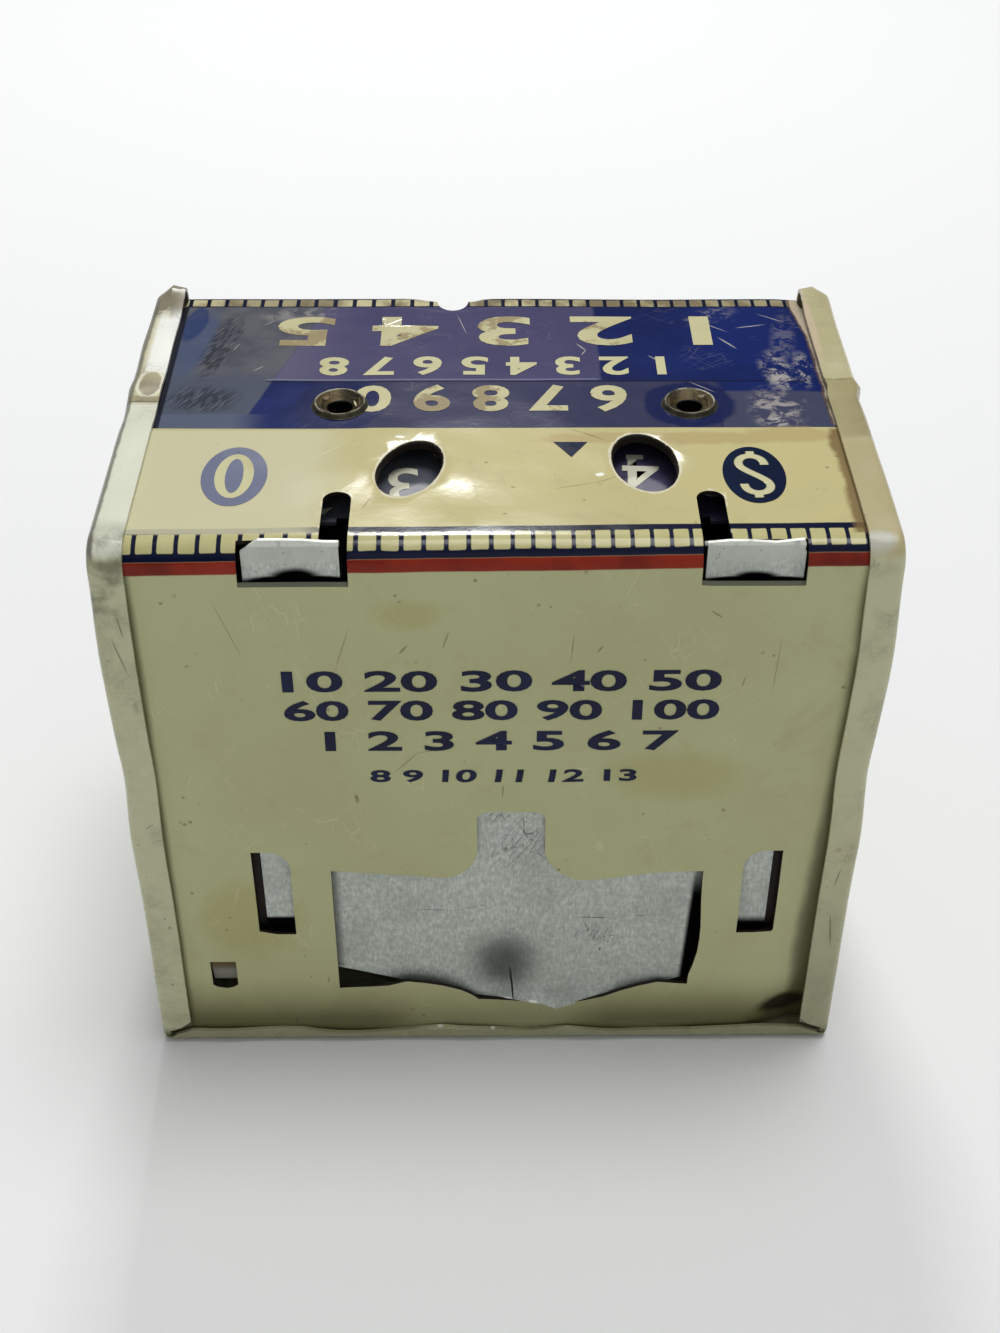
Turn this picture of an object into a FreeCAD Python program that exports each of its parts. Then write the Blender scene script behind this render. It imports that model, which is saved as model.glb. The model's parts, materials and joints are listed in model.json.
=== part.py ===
"""Dime register bank: sheet metal casing, two number wheels and a lifting coin door.

Millimetres. The origin is the middle of the bottom, +X points to the right of
someone who reads the top panel, -Y is the front, +Y the back and +Z is up.
"""

import FreeCAD, Part
import math
import os

# Box
bank_width = 76.0
bank_depth = 51.3
bank_height = 68.5
sheet = 0.4
ridge_radius = 3.0
front_top_radius = 2.2
cover_front_radius = 3.0
base_edge_radius = 1.2
side_edge_radius = 0.8
side_flange = 3.4
base_flange = 2.0
mitre_gap = 0.9
cover_gap = 0.15

# Front coin slot and the thumb notch above it
coin_diameter = 17.91
coin_slot_width = 2.4
star_coin_reach = 0.8
coin_play = 0.5
notch_width = 3.5
notch_depth = 3.0

# Windows and wheels
axis_from_back = 26.7
dial_left_clearance = 0.4
dial_right_clearance = 4.5
dial_gap = 1.9
dimes_window_offset = (-7.2, 12.4)
dollars_window_offset = (5.5, 11.65)
window_width = 6.8
window_length = 10.5
window_rim_depth = 0.5
eyelet_flange_radius = 2.95
eyelet_barrel_radius = 1.8
eyelet_bore_radius = 1.3
eyelet_dome = 0.7
dial_drop = 3.0
hub_wall = 1.1
hub_length = 5.0
bearing_clearance = 0.05
washer_radius = 3.6
washer_thickness = 0.5
washer_clearance = 0.1
tooth_count = 10
star_tip_radius = 11.9
star_root_radius = 8.8
star_thickness = 0.8
star_drop = 3.6
carry_thickness = 0.6
carry_mesh_depth = 0.5
carry_tooth_width = 1.2
carry_finger_angle = 54.0
carry_tooth_height = 2.6

# Click springs
spring_thickness = 0.3
spring_height = 2.8
spring_nose_gap = 0.3
spring_nose_width = 3.0
spring_tip_clearance = 0.8
spring_foot_length = 7.0
rivet_radius = 0.7
rivet_head_radius = 1.2
rivet_head_height = 0.4

# Coin chute
chute_past_axis = 8.35
chute_foot = 4.0
chute_below_coin = 1.2
chute_top_clearance = 0.5
flap_thickness = 0.4
flap_length = 6.0
flap_coin_gap = 0.1
flap_side_play = 0.3
ear_width = 2.6
ear_wall = 0.5
pin_overhang = 0.3
flap_pin_radius = 0.6
flap_setback = 5.1

# Coin door
door_clearance = 0.25
door_center_x = -2.2
door_width = 54.2
door_bottom = 7.5
door_body_top = 47.0
arm_width = 9.2
right_arm_offset = -1.4
left_arm_offset = 0.2
arm_rise = 0.8
arm_corner = 1.6
fin_dial_overlap = 0.5
fin_gap_under_dial = 0.5
gate_clearance = 0.5
door_travel = 18.5

# Ridge openings for the arms
opening_side_gap = 0.45
opening_top_reach = 2.3
opening_back_drop = 3.75
fin_slot_width = 2.7
fin_slot_clearance = 0.2

# Coin outlet, measured on the back panel
outlet_left = -22.0
outlet_right = 17.5
outlet_bottom = 8.3
outlet_top = 26.4
outlet_top_slope = 0.5
stem_center_x = -1.9
stem_width = 7.1
stem_top = 35.5
stem_fillet = 4.0
stem_corner = 1.2

# Guide tabs beside the door
guide_bottom = 17.7
guide_top = 29.4
guide_slot_width = 4.0
guide_door_gap = 0.9
guide_hook = 2.0

# Lanced tongues
back_tongue_x = 30.2
back_tongue_width = 2.8
back_tongue_length = 4.3
back_tongue_bottom = 8.4
side_tongue_width = 2.0
side_tongue_length = 5.4
side_tongue_press = 0.5
tongue_slit = 0.8
top_tongue_shift = 0.15
back_tongue_drop = 30.3

HALF_W = bank_width / 2
HALF_D = bank_depth / 2
WHEEL_AXIS_Y = HALF_D - axis_from_back
DIAL_RADIUS = (bank_width - 2 * sheet - dial_left_clearance - dial_right_clearance - dial_gap) / 4
DOLLARS_AXIS_X = -HALF_W + sheet + dial_left_clearance + DIAL_RADIUS
DIMES_AXIS_X = DOLLARS_AXIS_X + 2 * DIAL_RADIUS + dial_gap
DIMES_WINDOW = (DIMES_AXIS_X + dimes_window_offset[0], WHEEL_AXIS_Y + dimes_window_offset[1])
DOLLARS_WINDOW = (DOLLARS_AXIS_X + dollars_window_offset[0], WHEEL_AXIS_Y + dollars_window_offset[1])
COIN_SLOT_X = DIMES_AXIS_X - star_tip_radius + star_coin_reach
COVER_TOP = bank_height - sheet - cover_gap
COVER_BACK = HALF_D - sheet - cover_gap
COVER_INNER_TOP = COVER_TOP - sheet
COVER_INNER_BACK = COVER_BACK - sheet
DIAL_TOP = COVER_TOP - dial_drop
DIAL_BOTTOM = DIAL_TOP - sheet
HUB_RADIUS = eyelet_barrel_radius + bearing_clearance + hub_wall
HUB_BOTTOM = DIAL_TOP - hub_length
CARRY_TOP = DIAL_BOTTOM
CARRY_BOTTOM = CARRY_TOP - carry_thickness
STAR_TOP = DIAL_TOP - star_drop
STAR_BOTTOM = STAR_TOP - star_thickness
STAR_MIDDLE = (STAR_TOP + STAR_BOTTOM) / 2
CARRY_FINGER_RADIUS = DIAL_RADIUS + dial_gap + carry_mesh_depth
COIN_TOP = STAR_TOP + coin_play
COIN_BOTTOM = COIN_TOP - coin_diameter
CHUTE_TOP = COIN_TOP + chute_top_clearance
CHUTE_BOTTOM = COIN_BOTTOM - chute_below_coin
FLAP_EYE_RADIUS = flap_pin_radius + bearing_clearance + flap_thickness
FLAP_PIN_Z = COIN_TOP + FLAP_EYE_RADIUS + flap_coin_gap
FLAP_Y = -COVER_INNER_BACK + flap_setback
CHUTE_FAR_Y = WHEEL_AXIS_Y + chute_past_axis
DOOR_BACK = COVER_INNER_BACK - door_clearance
DOOR_FRONT = DOOR_BACK - sheet
DOOR_LEFT = door_center_x - door_width / 2
DOOR_RIGHT = door_center_x + door_width / 2
CARRY_PHASE = (180 - (carry_finger_angle + 180)) / tooth_count
FIN_TOP = CARRY_BOTTOM - fin_gap_under_dial
FIN_BOTTOM = DIAL_TOP + fin_gap_under_dial - door_travel
RIGHT_FIN_X = DIMES_AXIS_X + right_arm_offset
LEFT_FIN_X = DOLLARS_AXIS_X + left_arm_offset - sheet
RIGHT_ARM_X = RIGHT_FIN_X
LEFT_ARM_X = LEFT_FIN_X + sheet - arm_width
FIN_TIP_Y = WHEEL_AXIS_Y + DIAL_RADIUS - fin_dial_overlap
FIN_SLOT_Y = FIN_TIP_Y - fin_slot_clearance


def box(x0, x1, y0, y1, z0, z1):
    """Block between two corners."""
    return Part.makeBox(x1 - x0, y1 - y0, z1 - z0, FreeCAD.Vector(x0, y0, z0))


def disc(x, y, z0, z1, radius):
    """Upright cylinder between two heights."""
    return Part.makeCylinder(radius, z1 - z0, FreeCAD.Vector(x, y, z0))


def ring(x, y, z0, z1, outer, inner):
    """Upright tube between two heights."""
    return disc(x, y, z0, z1, outer).cut(disc(x, y, z0 - 1, z1 + 1, inner))


def join(shapes):
    """Fuse shapes and drop the seams between them."""
    result = shapes[0]
    for shape in shapes[1:]:
        result = result.fuse(shape)
    return result.removeSplitter()


def cut_all(shape, tools):
    """Cut every tool from a shape."""
    for tool in tools:
        shape = shape.cut(tool)
    return shape


def prism(points, direction):
    """Extrude the closed outline through the points."""
    wire = Part.makePolygon(points + [points[0]])
    return Part.Face(wire).extrude(direction)


def rounded_block(x0, x1, y0, y1, z0, z1, radii, end_radius):
    """Block with its long edges rounded: front top, back top and base, then both ends."""
    front_top, back_top, base = radii
    block = box(x0, x1, y0, y1, z0, z1)
    for y, z, radius in ((y0, z1, front_top), (y1, z1, back_top), (y0, z0, base), (y1, z0, base)):
        if radius > 0:
            edges = [edge for edge in block.Edges if is_long_edge(edge, y, z, x1 - x0)]
            block = block.makeFillet(radius, edges)
    if end_radius > 0:
        ends = [edge for edge in block.Edges if is_end_edge(edge, x0) or is_end_edge(edge, x1)]
        block = block.makeFillet(end_radius, ends)
    return block


def is_long_edge(edge, y, z, length):
    """True for the edge along X at the given height and depth."""
    box_of_edge = edge.BoundBox
    long_enough = box_of_edge.XLength > 0.9 * length
    return long_enough and abs(box_of_edge.YMin - y) < 1e-4 and abs(box_of_edge.ZMin - z) < 1e-4


def is_end_edge(edge, x):
    """True for an edge that lies in the end plane at x."""
    return abs(edge.BoundBox.XMin - x) < 1e-4 and abs(edge.BoundBox.XMax - x) < 1e-4


def stadium(x, y, width, length, z0, z1):
    """Upright prism with two round ends, long in Y."""
    radius = width / 2
    reach = length / 2 - radius
    body = box(x - radius, x + radius, y - reach, y + reach, z0, z1)
    ends = [disc(x, y + side * reach, z0, z1, radius) for side in (-1, 1)]
    return join([body] + ends)


def oval(x, y, width, length, z0, z1):
    """Upright elliptic prism, long in Y."""
    center = FreeCAD.Vector(x, y, z0)
    ellipse = Part.Ellipse(center + FreeCAD.Vector(0, length / 2, 0), center + FreeCAD.Vector(width / 2, 0, 0),
                           center)
    return Part.Face(Part.Wire(ellipse.toShape())).extrude(FreeCAD.Vector(0, 0, z1 - z0))


def side_tongue(side, upright, y, z):
    """Lanced tongue of a side wall: the hole to cut and the pressed tongue to add."""
    outer = side * HALF_W
    inner = side * (HALF_W - sheet)
    half_w = side_tongue_width / 2
    half_l = side_tongue_length / 2
    press = side * side_tongue_press
    along = FreeCAD.Vector(0, 0, 1) if upright else FreeCAD.Vector(0, 1, 0)
    across = FreeCAD.Vector(0, 1, 0) if upright else FreeCAD.Vector(0, 0, 1)
    middle = FreeCAD.Vector(0, y, z)
    free_end = -1 if upright else 1

    def corner(x, run):
        return middle + along * (run * free_end) - across * half_w + FreeCAD.Vector(x, 0, 0)

    hole = prism([corner(outer + side, -half_l), corner(inner - side, -half_l),
                  corner(inner - side, half_l), corner(outer + side, half_l)], across * side_tongue_width)
    tip = half_l - tongue_slit
    tongue = prism([corner(outer, -half_l), corner(inner, -half_l),
                    corner(inner - press, tip), corner(outer - press, tip)], across * side_tongue_width)
    return hole, tongue


def casing():
    """Sides and bottom bent from one sheet, with flanges folded over the cover."""
    radii = (front_top_radius, ridge_radius, base_edge_radius)
    outer = rounded_block(-HALF_W, HALF_W, -HALF_D, HALF_D, 0, bank_height, radii, side_edge_radius)
    inner_radii = tuple(radius - sheet for radius in radii)
    inner = rounded_block(-HALF_W + sheet, HALF_W - sheet, -HALF_D + sheet, HALF_D - sheet,
                          sheet, bank_height - sheet, inner_radii, side_edge_radius - sheet)
    shell = outer.cut(inner)
    mouth_x = HALF_W - side_flange
    mouth = box(-mouth_x, mouth_x, -HALF_D - 1, HALF_D + 1, base_flange, bank_height + 1)
    shell = shell.cut(mouth)
    for side in (-1, 1):
        for face in (-1, 1):
            shell = shell.cut(mitre(side, face))
    for side in (-1, 1):
        places = ((False, WHEEL_AXIS_Y + top_tongue_shift, tongue_height()),
                  (True, tongue_depth(), bank_height - back_tongue_drop))
        for upright, y, z in places:
            hole, tongue = side_tongue(side, upright, y, z)
            shell = shell.cut(hole).fuse(tongue)
    return shell.removeSplitter()


def tongue_height():
    """Height of the side tongues that carry the top panel."""
    return COVER_INNER_TOP - side_tongue_width / 2 - cover_gap


def tongue_depth():
    """Depth of the side tongues that carry the back panel."""
    return COVER_INNER_BACK - side_tongue_width / 2 - cover_gap


def mitre(side, face):
    """Slanted gap between a side flange and the base flange."""
    inner_x = side * (HALF_W - side_flange)
    outer_x = side * (HALF_W - sheet)
    depth = FreeCAD.Vector(0, sheet + 0.1, 0)
    y = HALF_D - sheet if face > 0 else -HALF_D - 0.1
    low = base_edge_radius * 0.6
    points = [FreeCAD.Vector(inner_x, y, base_flange + mitre_gap), FreeCAD.Vector(outer_x, y, low + mitre_gap),
              FreeCAD.Vector(outer_x, y, low), FreeCAD.Vector(inner_x, y, base_flange)]
    return prism(points, depth)


def cover_sheet():
    """Front, top and back bent from one sheet that lies inside the casing flanges."""
    x0 = -HALF_W + sheet + cover_gap
    shell = cover_blank(x0)
    shell = cut_all(shell, top_cuts() + ridge_cuts() + back_cuts() + front_cuts())
    added = [window_rim(DIMES_WINDOW), window_rim(DOLLARS_WINDOW), back_tongue()]
    added += [guide_tab(side) for side in (-1, 1)]
    return join([shell] + added)


def cover_blank(x0):
    """The bent cover before its openings are punched."""
    front = -COVER_BACK
    corner = ridge_radius - sheet
    bottom = base_edge_radius
    outer = rounded_block(x0, -x0, front, COVER_BACK, bottom, COVER_TOP, (cover_front_radius, corner, 0), 0)
    inner = rounded_block(x0 - 1, -x0 + 1, front + sheet, COVER_INNER_BACK, bottom - 1, COVER_INNER_TOP,
                          (cover_front_radius - sheet, corner - sheet, 0), 0)
    return outer.cut(inner)


def top_cuts():
    """Window and eyelet holes of the top panel."""
    below = COVER_INNER_TOP - 1
    above = COVER_TOP + 1
    holes = [oval(x, y, window_width + 2 * sheet, window_length + 2 * sheet, below, above)
             for x, y in (DIMES_WINDOW, DOLLARS_WINDOW)]
    holes += [disc(x, WHEEL_AXIS_Y, below, above, eyelet_barrel_radius)
              for x in (DIMES_AXIS_X, DOLLARS_AXIS_X)]
    return holes


def window_rim(window):
    """Dished rim that the punch leaves round a window."""
    x, y = window
    low = COVER_TOP - sheet - window_rim_depth
    wide = window_width + 2 * sheet
    long = window_length + 2 * sheet
    rim = oval(x, y, wide, long, low, COVER_TOP).cut(oval(x, y, window_width, window_length, low - 1, COVER_TOP + 1))
    top_edges = [edge for edge in rim.Edges
                 if edge.BoundBox.ZMin > COVER_TOP - 1e-3 and edge.BoundBox.XLength < window_width + 0.1]
    return rim.makeFillet(sheet * 0.8, top_edges)


def ridge_cuts():
    """L-shaped openings in the ridge for the door's arms, with slots for their fins."""
    cuts = []
    top_y = HALF_D - opening_top_reach
    back_z = bank_height - opening_back_drop
    for arm_x, inner_side in ((RIGHT_ARM_X, -1), (LEFT_ARM_X, 1)):
        x0 = arm_x - opening_side_gap
        x1 = arm_x + arm_width + opening_side_gap
        cuts.append(box(x0, x1, top_y, HALF_D + 1, back_z, bank_height + 1))
        slot_x = x0 + fin_slot_width / 2 - 0.3 if inner_side < 0 else x1 - fin_slot_width / 2 + 0.3
        middle_y = (FIN_SLOT_Y + HALF_D + 1) / 2
        cuts.append(stadium(slot_x, middle_y, fin_slot_width, HALF_D + 1 - FIN_SLOT_Y, COVER_TOP - 2,
                            bank_height + 1))
        cuts.append(box(slot_x - fin_slot_width / 2, slot_x + fin_slot_width / 2, top_y, HALF_D + 1,
                        back_z, bank_height + 1))
    return cuts


def back_cuts():
    """Coin outlet, guide slots and tongue hole of the back panel."""
    guide_holes = []
    for side in (-1, 1):
        outer = guide_x(side)
        inner = outer - side * guide_slot_width
        guide_holes.append(guide_slot(min(outer, inner), max(outer, inner), side))
    tongue_hole = box(back_tongue_x - back_tongue_width / 2, back_tongue_x + back_tongue_width / 2,
                      COVER_INNER_BACK - 0.5, HALF_D + 1, back_tongue_bottom,
                      back_tongue_bottom + back_tongue_length)
    return [outlet_cut(), tongue_hole] + guide_holes


def outlet_cut():
    """T-shaped coin outlet: a wide body with a stem for the finger."""
    y = COVER_INNER_BACK - 0.5
    depth = FreeCAD.Vector(0, sheet + 1, 0)
    stem_left = stem_center_x - stem_width / 2
    stem_right = stem_center_x + stem_width / 2
    shoulder = outlet_top - outlet_top_slope
    points = [(outlet_left, outlet_bottom), (outlet_right, outlet_bottom), (outlet_right, outlet_top),
              (stem_right, shoulder), (stem_right, stem_top), (stem_left, stem_top),
              (stem_left, shoulder), (outlet_left, outlet_top)]
    blank = prism([FreeCAD.Vector(x, y, z) for x, z in points], depth)
    inner_corners = [edge for edge in blank.Edges if is_depth_edge(edge, (stem_left, stem_right), shoulder)]
    outer_corners = [edge for edge in blank.Edges if is_depth_edge(edge, (stem_left, stem_right), stem_top)]
    blank = blank.makeFillet(stem_fillet, inner_corners)
    outer_corners = [edge for edge in blank.Edges if is_depth_edge(edge, (stem_left, stem_right), stem_top)]
    return blank.makeFillet(stem_corner, outer_corners)


def is_depth_edge(edge, places, z):
    """True for an edge along Y at one of the given X places and height z."""
    box_of_edge = edge.BoundBox
    at_place = any(abs(box_of_edge.XMin - x) < 1e-4 and box_of_edge.XLength < 1e-4 for x in places)
    return at_place and box_of_edge.YLength > sheet and abs(box_of_edge.ZMin - z) < 1e-4


def guide_x(side):
    """Outer edge of a guide slot, where its tab is bent inward."""
    edge = DOOR_RIGHT if side > 0 else DOOR_LEFT
    return edge + side * guide_door_gap


def guide_slot(x0, x1, side):
    """Slot that a guide tab is bent out of, with one rounded corner at the top."""
    slot = box(x0, x1, COVER_INNER_BACK - 0.5, HALF_D + 1, guide_bottom, guide_top)
    corner_x = x0 if side > 0 else x1
    edges = [edge for edge in slot.Edges if is_depth_edge(edge, (corner_x,), guide_top)]
    return slot.makeFillet(guide_slot_width * 0.6, edges)


def guide_tab(side):
    """Hooked tab that holds one edge of the door against the back panel."""
    root = guide_x(side)
    x0, x1 = sorted((root, root + side * sheet))
    back_of_door = DOOR_FRONT - door_clearance
    wall = box(x0, x1, back_of_door - sheet, COVER_BACK, guide_bottom, guide_top)
    h0, h1 = sorted((root + side * sheet, root - side * guide_hook))
    hook = box(h0, h1, back_of_door - sheet, back_of_door, guide_bottom, guide_top)
    return join([wall, hook])


def back_tongue():
    """Tongue of the back panel, rooted at its top and pressed inward."""
    x = back_tongue_x - back_tongue_width / 2 + sheet / 4
    top = back_tongue_bottom + back_tongue_length
    low = back_tongue_bottom + tongue_slit
    press = 2 * sheet
    points = [FreeCAD.Vector(x, COVER_BACK, top), FreeCAD.Vector(x, COVER_INNER_BACK, top),
              FreeCAD.Vector(x, COVER_INNER_BACK - press, low), FreeCAD.Vector(x, COVER_BACK - press, low)]
    return prism(points, FreeCAD.Vector(back_tongue_width - sheet / 2, 0, 0))


def front_cuts():
    """Thumb notch over the ridge of the front and the coin slot below it."""
    y0 = -HALF_D - 1
    y1 = -HALF_D + notch_depth
    notch = stadium(COIN_SLOT_X, y0, notch_width, 2 * (y1 - y0), COVER_INNER_TOP - notch_depth, bank_height + 1)
    slot = box(COIN_SLOT_X - coin_slot_width / 2, COIN_SLOT_X + coin_slot_width / 2, y0,
               -COVER_INNER_BACK + 0.5, COIN_BOTTOM - coin_play, COVER_TOP - 1)
    places = [(x, STAR_MIDDLE) for x in spring_rivet_places(DIMES_AXIS_X, 1)]
    places += [(x, STAR_MIDDLE) for x in spring_rivet_places(DOLLARS_AXIS_X, -1)]
    places += [(chute_rivet_x(side), z) for side in (-1, 1) for z in chute_rivet_heights()]
    return [notch, slot] + [rivet_hole(x, z) for x, z in places]


def eyelet(x):
    """Tubular rivet through the top panel: domed flange, barrel and rolled lower end."""
    lower = HUB_BOTTOM - washer_clearance - washer_thickness - sheet
    top = COVER_TOP + eyelet_dome
    inner, outer = eyelet_bore_radius, eyelet_flange_radius
    barrel = eyelet_barrel_radius
    profile = [(inner, lower), (barrel + 0.8, lower), (barrel + 0.8, lower + sheet), (barrel, lower + sheet),
               (barrel, COVER_TOP), (outer, COVER_TOP)]
    vectors = [FreeCAD.Vector(x + r, WHEEL_AXIS_Y, z) for r, z in profile]
    rim = vectors[-1]
    crest = FreeCAD.Vector(x + (outer + barrel) / 2, WHEEL_AXIS_Y, top)
    throat = FreeCAD.Vector(x + inner, WHEEL_AXIS_Y, COVER_TOP)
    edges = [Part.LineSegment(a, b).toShape() for a, b in zip(vectors, vectors[1:])]
    edges.append(Part.Arc(rim, crest, throat).toShape())
    edges.append(Part.LineSegment(throat, vectors[0]).toShape())
    face = Part.Face(Part.Wire(edges))
    return face.revolve(FreeCAD.Vector(x, WHEEL_AXIS_Y, 0), FreeCAD.Vector(0, 0, 1), 360)


def spacer(x):
    """Washer that keeps a dial below the top panel."""
    return ring(x, WHEEL_AXIS_Y, DIAL_TOP + washer_clearance, COVER_INNER_TOP, HUB_RADIUS, eyelet_barrel_radius)


def retaining_washer(x):
    """Washer on the rolled end of an eyelet that carries a wheel."""
    top = HUB_BOTTOM - washer_clearance
    return ring(x, WHEEL_AXIS_Y, top - washer_thickness, top, washer_radius, eyelet_barrel_radius)


def hub(x):
    """Sleeve that turns on an eyelet and holds the plates of a wheel."""
    bore = eyelet_barrel_radius + bearing_clearance
    return ring(x, WHEEL_AXIS_Y, HUB_BOTTOM, DIAL_TOP, HUB_RADIUS, bore)


def dial(x, fin_x):
    """Number disc with the gate that lets a fin of the door pass."""
    plate = ring(x, WHEEL_AXIS_Y, DIAL_BOTTOM, DIAL_TOP, DIAL_RADIUS, HUB_RADIUS)
    gate_bottom = FIN_SLOT_Y - gate_clearance
    gate = box(fin_x - gate_clearance, fin_x + sheet + gate_clearance, gate_bottom, HALF_D,
               DIAL_BOTTOM - 1, DIAL_TOP + 1)
    return plate.cut(gate)


def star_wheel(x):
    """Ten-tooth star with its valleys on the line between the wheels."""
    points = []
    for index in range(2 * tooth_count):
        angle = math.pi * index / tooth_count
        radius = star_root_radius if index % 2 == 0 else star_tip_radius
        points.append(FreeCAD.Vector(x + radius * math.cos(angle), WHEEL_AXIS_Y + radius * math.sin(angle),
                                     STAR_BOTTOM))
    star = prism(points, FreeCAD.Vector(0, 0, star_thickness))
    return star.cut(disc(x, WHEEL_AXIS_Y, STAR_BOTTOM - 1, STAR_TOP + 1, HUB_RADIUS))


def radial_tooth(x, inner, outer, degrees):
    """Narrow straight tooth of a carry wheel."""
    tooth = box(inner, outer, -carry_tooth_width / 2, carry_tooth_width / 2, CARRY_BOTTOM, CARRY_TOP)
    tooth.rotate(FreeCAD.Vector(0, 0, 0), FreeCAD.Vector(0, 0, 1), degrees)
    tooth.translate(FreeCAD.Vector(x, WHEEL_AXIS_Y, 0))
    return tooth


def carry_finger():
    """Plate under the dimes dial with the one finger that moves the dollars on."""
    plate_radius = star_root_radius
    plate = disc(DIMES_AXIS_X, WHEEL_AXIS_Y, CARRY_BOTTOM, CARRY_TOP, plate_radius)
    finger = radial_tooth(DIMES_AXIS_X, 0, CARRY_FINGER_RADIUS, carry_finger_angle)
    bore = disc(DIMES_AXIS_X, WHEEL_AXIS_Y, CARRY_BOTTOM - 1, CARRY_TOP + 1, HUB_RADIUS)
    return join([plate, finger]).cut(bore)


def carry_wheel():
    """Ten narrow teeth under the dollars dial that the finger meets."""
    plate = disc(DOLLARS_AXIS_X, WHEEL_AXIS_Y, CARRY_BOTTOM, CARRY_TOP, DIAL_RADIUS - carry_tooth_height)
    pitch = 360 / tooth_count
    teeth = [radial_tooth(DOLLARS_AXIS_X, star_root_radius, DIAL_RADIUS, CARRY_PHASE + pitch * index)
             for index in range(tooth_count)]
    bore = disc(DOLLARS_AXIS_X, WHEEL_AXIS_Y, CARRY_BOTTOM - 1, CARRY_TOP + 1, HUB_RADIUS)
    return join([plate] + teeth).cut(bore)


def click_spring(x, side):
    """Leaf spring on the front wall whose nose rests between two teeth of a star."""
    low = STAR_MIDDLE - spring_height / 2
    wall = -COVER_INNER_BACK
    leaf = spring_leaf_x(x, side)
    nose = x + side * (star_root_radius + spring_nose_gap)
    foot = leaf - side * spring_foot_length
    t = spring_thickness
    back = leaf + side * t
    y = WHEEL_AXIS_Y
    outline = [(foot, wall), (back, wall), (back, y - spring_nose_width), (nose + side * 1.6 * t, y),
               (back, y + spring_nose_width), (leaf, y + spring_nose_width), (nose, y),
               (leaf, y - spring_nose_width), (leaf, wall + t), (foot, wall + t)]
    points = [FreeCAD.Vector(px, py, low) for px, py in outline]
    spring = prism(points, FreeCAD.Vector(0, 0, spring_height))
    return cut_all(spring, [rivet_hole(place, STAR_MIDDLE) for place in spring_rivet_places(x, side)])


def spring_leaf_x(x, side):
    """Place of a spring's leaf, clear of the tips of its star."""
    return x + side * (star_tip_radius + spring_tip_clearance)


def spring_rivet_places(x, side):
    """Places along X of the two rivets in a spring's foot."""
    leaf = spring_leaf_x(x, side)
    return [leaf - side * spring_foot_length * share for share in (0.35, 0.75)]


def click_spring_rivets():
    """Rivets that hold the feet of the two click springs."""
    places = spring_rivet_places(DIMES_AXIS_X, 1) + spring_rivet_places(DOLLARS_AXIS_X, -1)
    return Part.makeCompound([rivet(x, STAR_MIDDLE, spring_thickness) for x in places])


def rivet_hole(x, z):
    """Hole for a rivet through the front wall and what lies on it."""
    return Part.makeCylinder(rivet_radius, 4 * sheet + 2, FreeCAD.Vector(x, -COVER_BACK - 1, z),
                             FreeCAD.Vector(0, 1, 0))


def rivet(x, z, foot_thickness):
    """Rivet with a low head outside the front wall and one inside on the foot."""
    back = FreeCAD.Vector(0, 1, 0)
    outside = -COVER_BACK
    inside = -COVER_INNER_BACK + foot_thickness
    head = Part.makeCone(rivet_radius, rivet_head_radius, rivet_head_height,
                         FreeCAD.Vector(x, outside - rivet_head_height, z), back)
    shank = Part.makeCylinder(rivet_radius, inside - outside, FreeCAD.Vector(x, outside, z), back)
    clinch = Part.makeCylinder(rivet_head_radius, rivet_head_height, FreeCAD.Vector(x, inside, z), back)
    return join([head, shank, clinch])


def chute_plate(side):
    """One wall of the coin guide, with a foot on the front wall and an ear for the flap's pin."""
    inner = COIN_SLOT_X + side * coin_slot_width / 2
    outer = inner + side * sheet
    wall = -COVER_INNER_BACK
    x0, x1 = sorted((inner, outer))
    plate = box(x0, x1, wall, CHUTE_FAR_Y, CHUTE_BOTTOM, CHUTE_TOP)
    f0, f1 = sorted((inner, inner + side * chute_foot))
    foot = box(f0, f1, wall, wall + sheet, CHUTE_BOTTOM, CHUTE_TOP)
    ear = box(x0, x1, FLAP_Y - ear_width / 2, FLAP_Y + ear_width / 2, CHUTE_BOTTOM,
              FLAP_PIN_Z + flap_pin_radius + ear_wall)
    shape = join([plate, foot, ear])
    cuts = [flap_pin(), chute_drop()]
    cuts += [rivet_hole(chute_rivet_x(side), z) for z in chute_rivet_heights()]
    if side > 0:
        cuts.append(star_window(outer))
    return cut_all(shape, cuts)


def chute_drop():
    """Slanted cut that lets the dime fall at the far end of the guide."""
    x = COIN_SLOT_X - coin_slot_width
    half_coin = coin_diameter / 2
    low = CHUTE_BOTTOM - 1
    points = [FreeCAD.Vector(x, CHUTE_FAR_Y - half_coin, low), FreeCAD.Vector(x, CHUTE_FAR_Y + 1, low),
              FreeCAD.Vector(x, CHUTE_FAR_Y + 1, CHUTE_BOTTOM + half_coin)]
    return prism(points, FreeCAD.Vector(2 * coin_slot_width, 0, 0))


def star_window(outer):
    """Clearance in the chute wall for the teeth of the dimes star."""
    offset = DIMES_AXIS_X - outer
    half = math.sqrt(star_tip_radius ** 2 - offset ** 2) + 1.0
    return box(COIN_SLOT_X, outer + 1, WHEEL_AXIS_Y - half, WHEEL_AXIS_Y + half, STAR_BOTTOM - 0.4, CHUTE_TOP + 1)


def chute_rivet_x(side):
    """Place of the rivets in the foot of a chute plate."""
    return COIN_SLOT_X + side * (coin_slot_width / 2 + chute_foot * 0.6)


def chute_rivet_heights():
    """Heights of the two rivets in each foot."""
    return [CHUTE_BOTTOM + rivet_head_radius + 1, CHUTE_TOP - rivet_head_radius - 1]


def chute_rivets():
    """Rivets that hold the coin guide to the front wall."""
    return Part.makeCompound([rivet(chute_rivet_x(side), z, sheet)
                              for side in (-1, 1) for z in chute_rivet_heights()])


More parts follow.
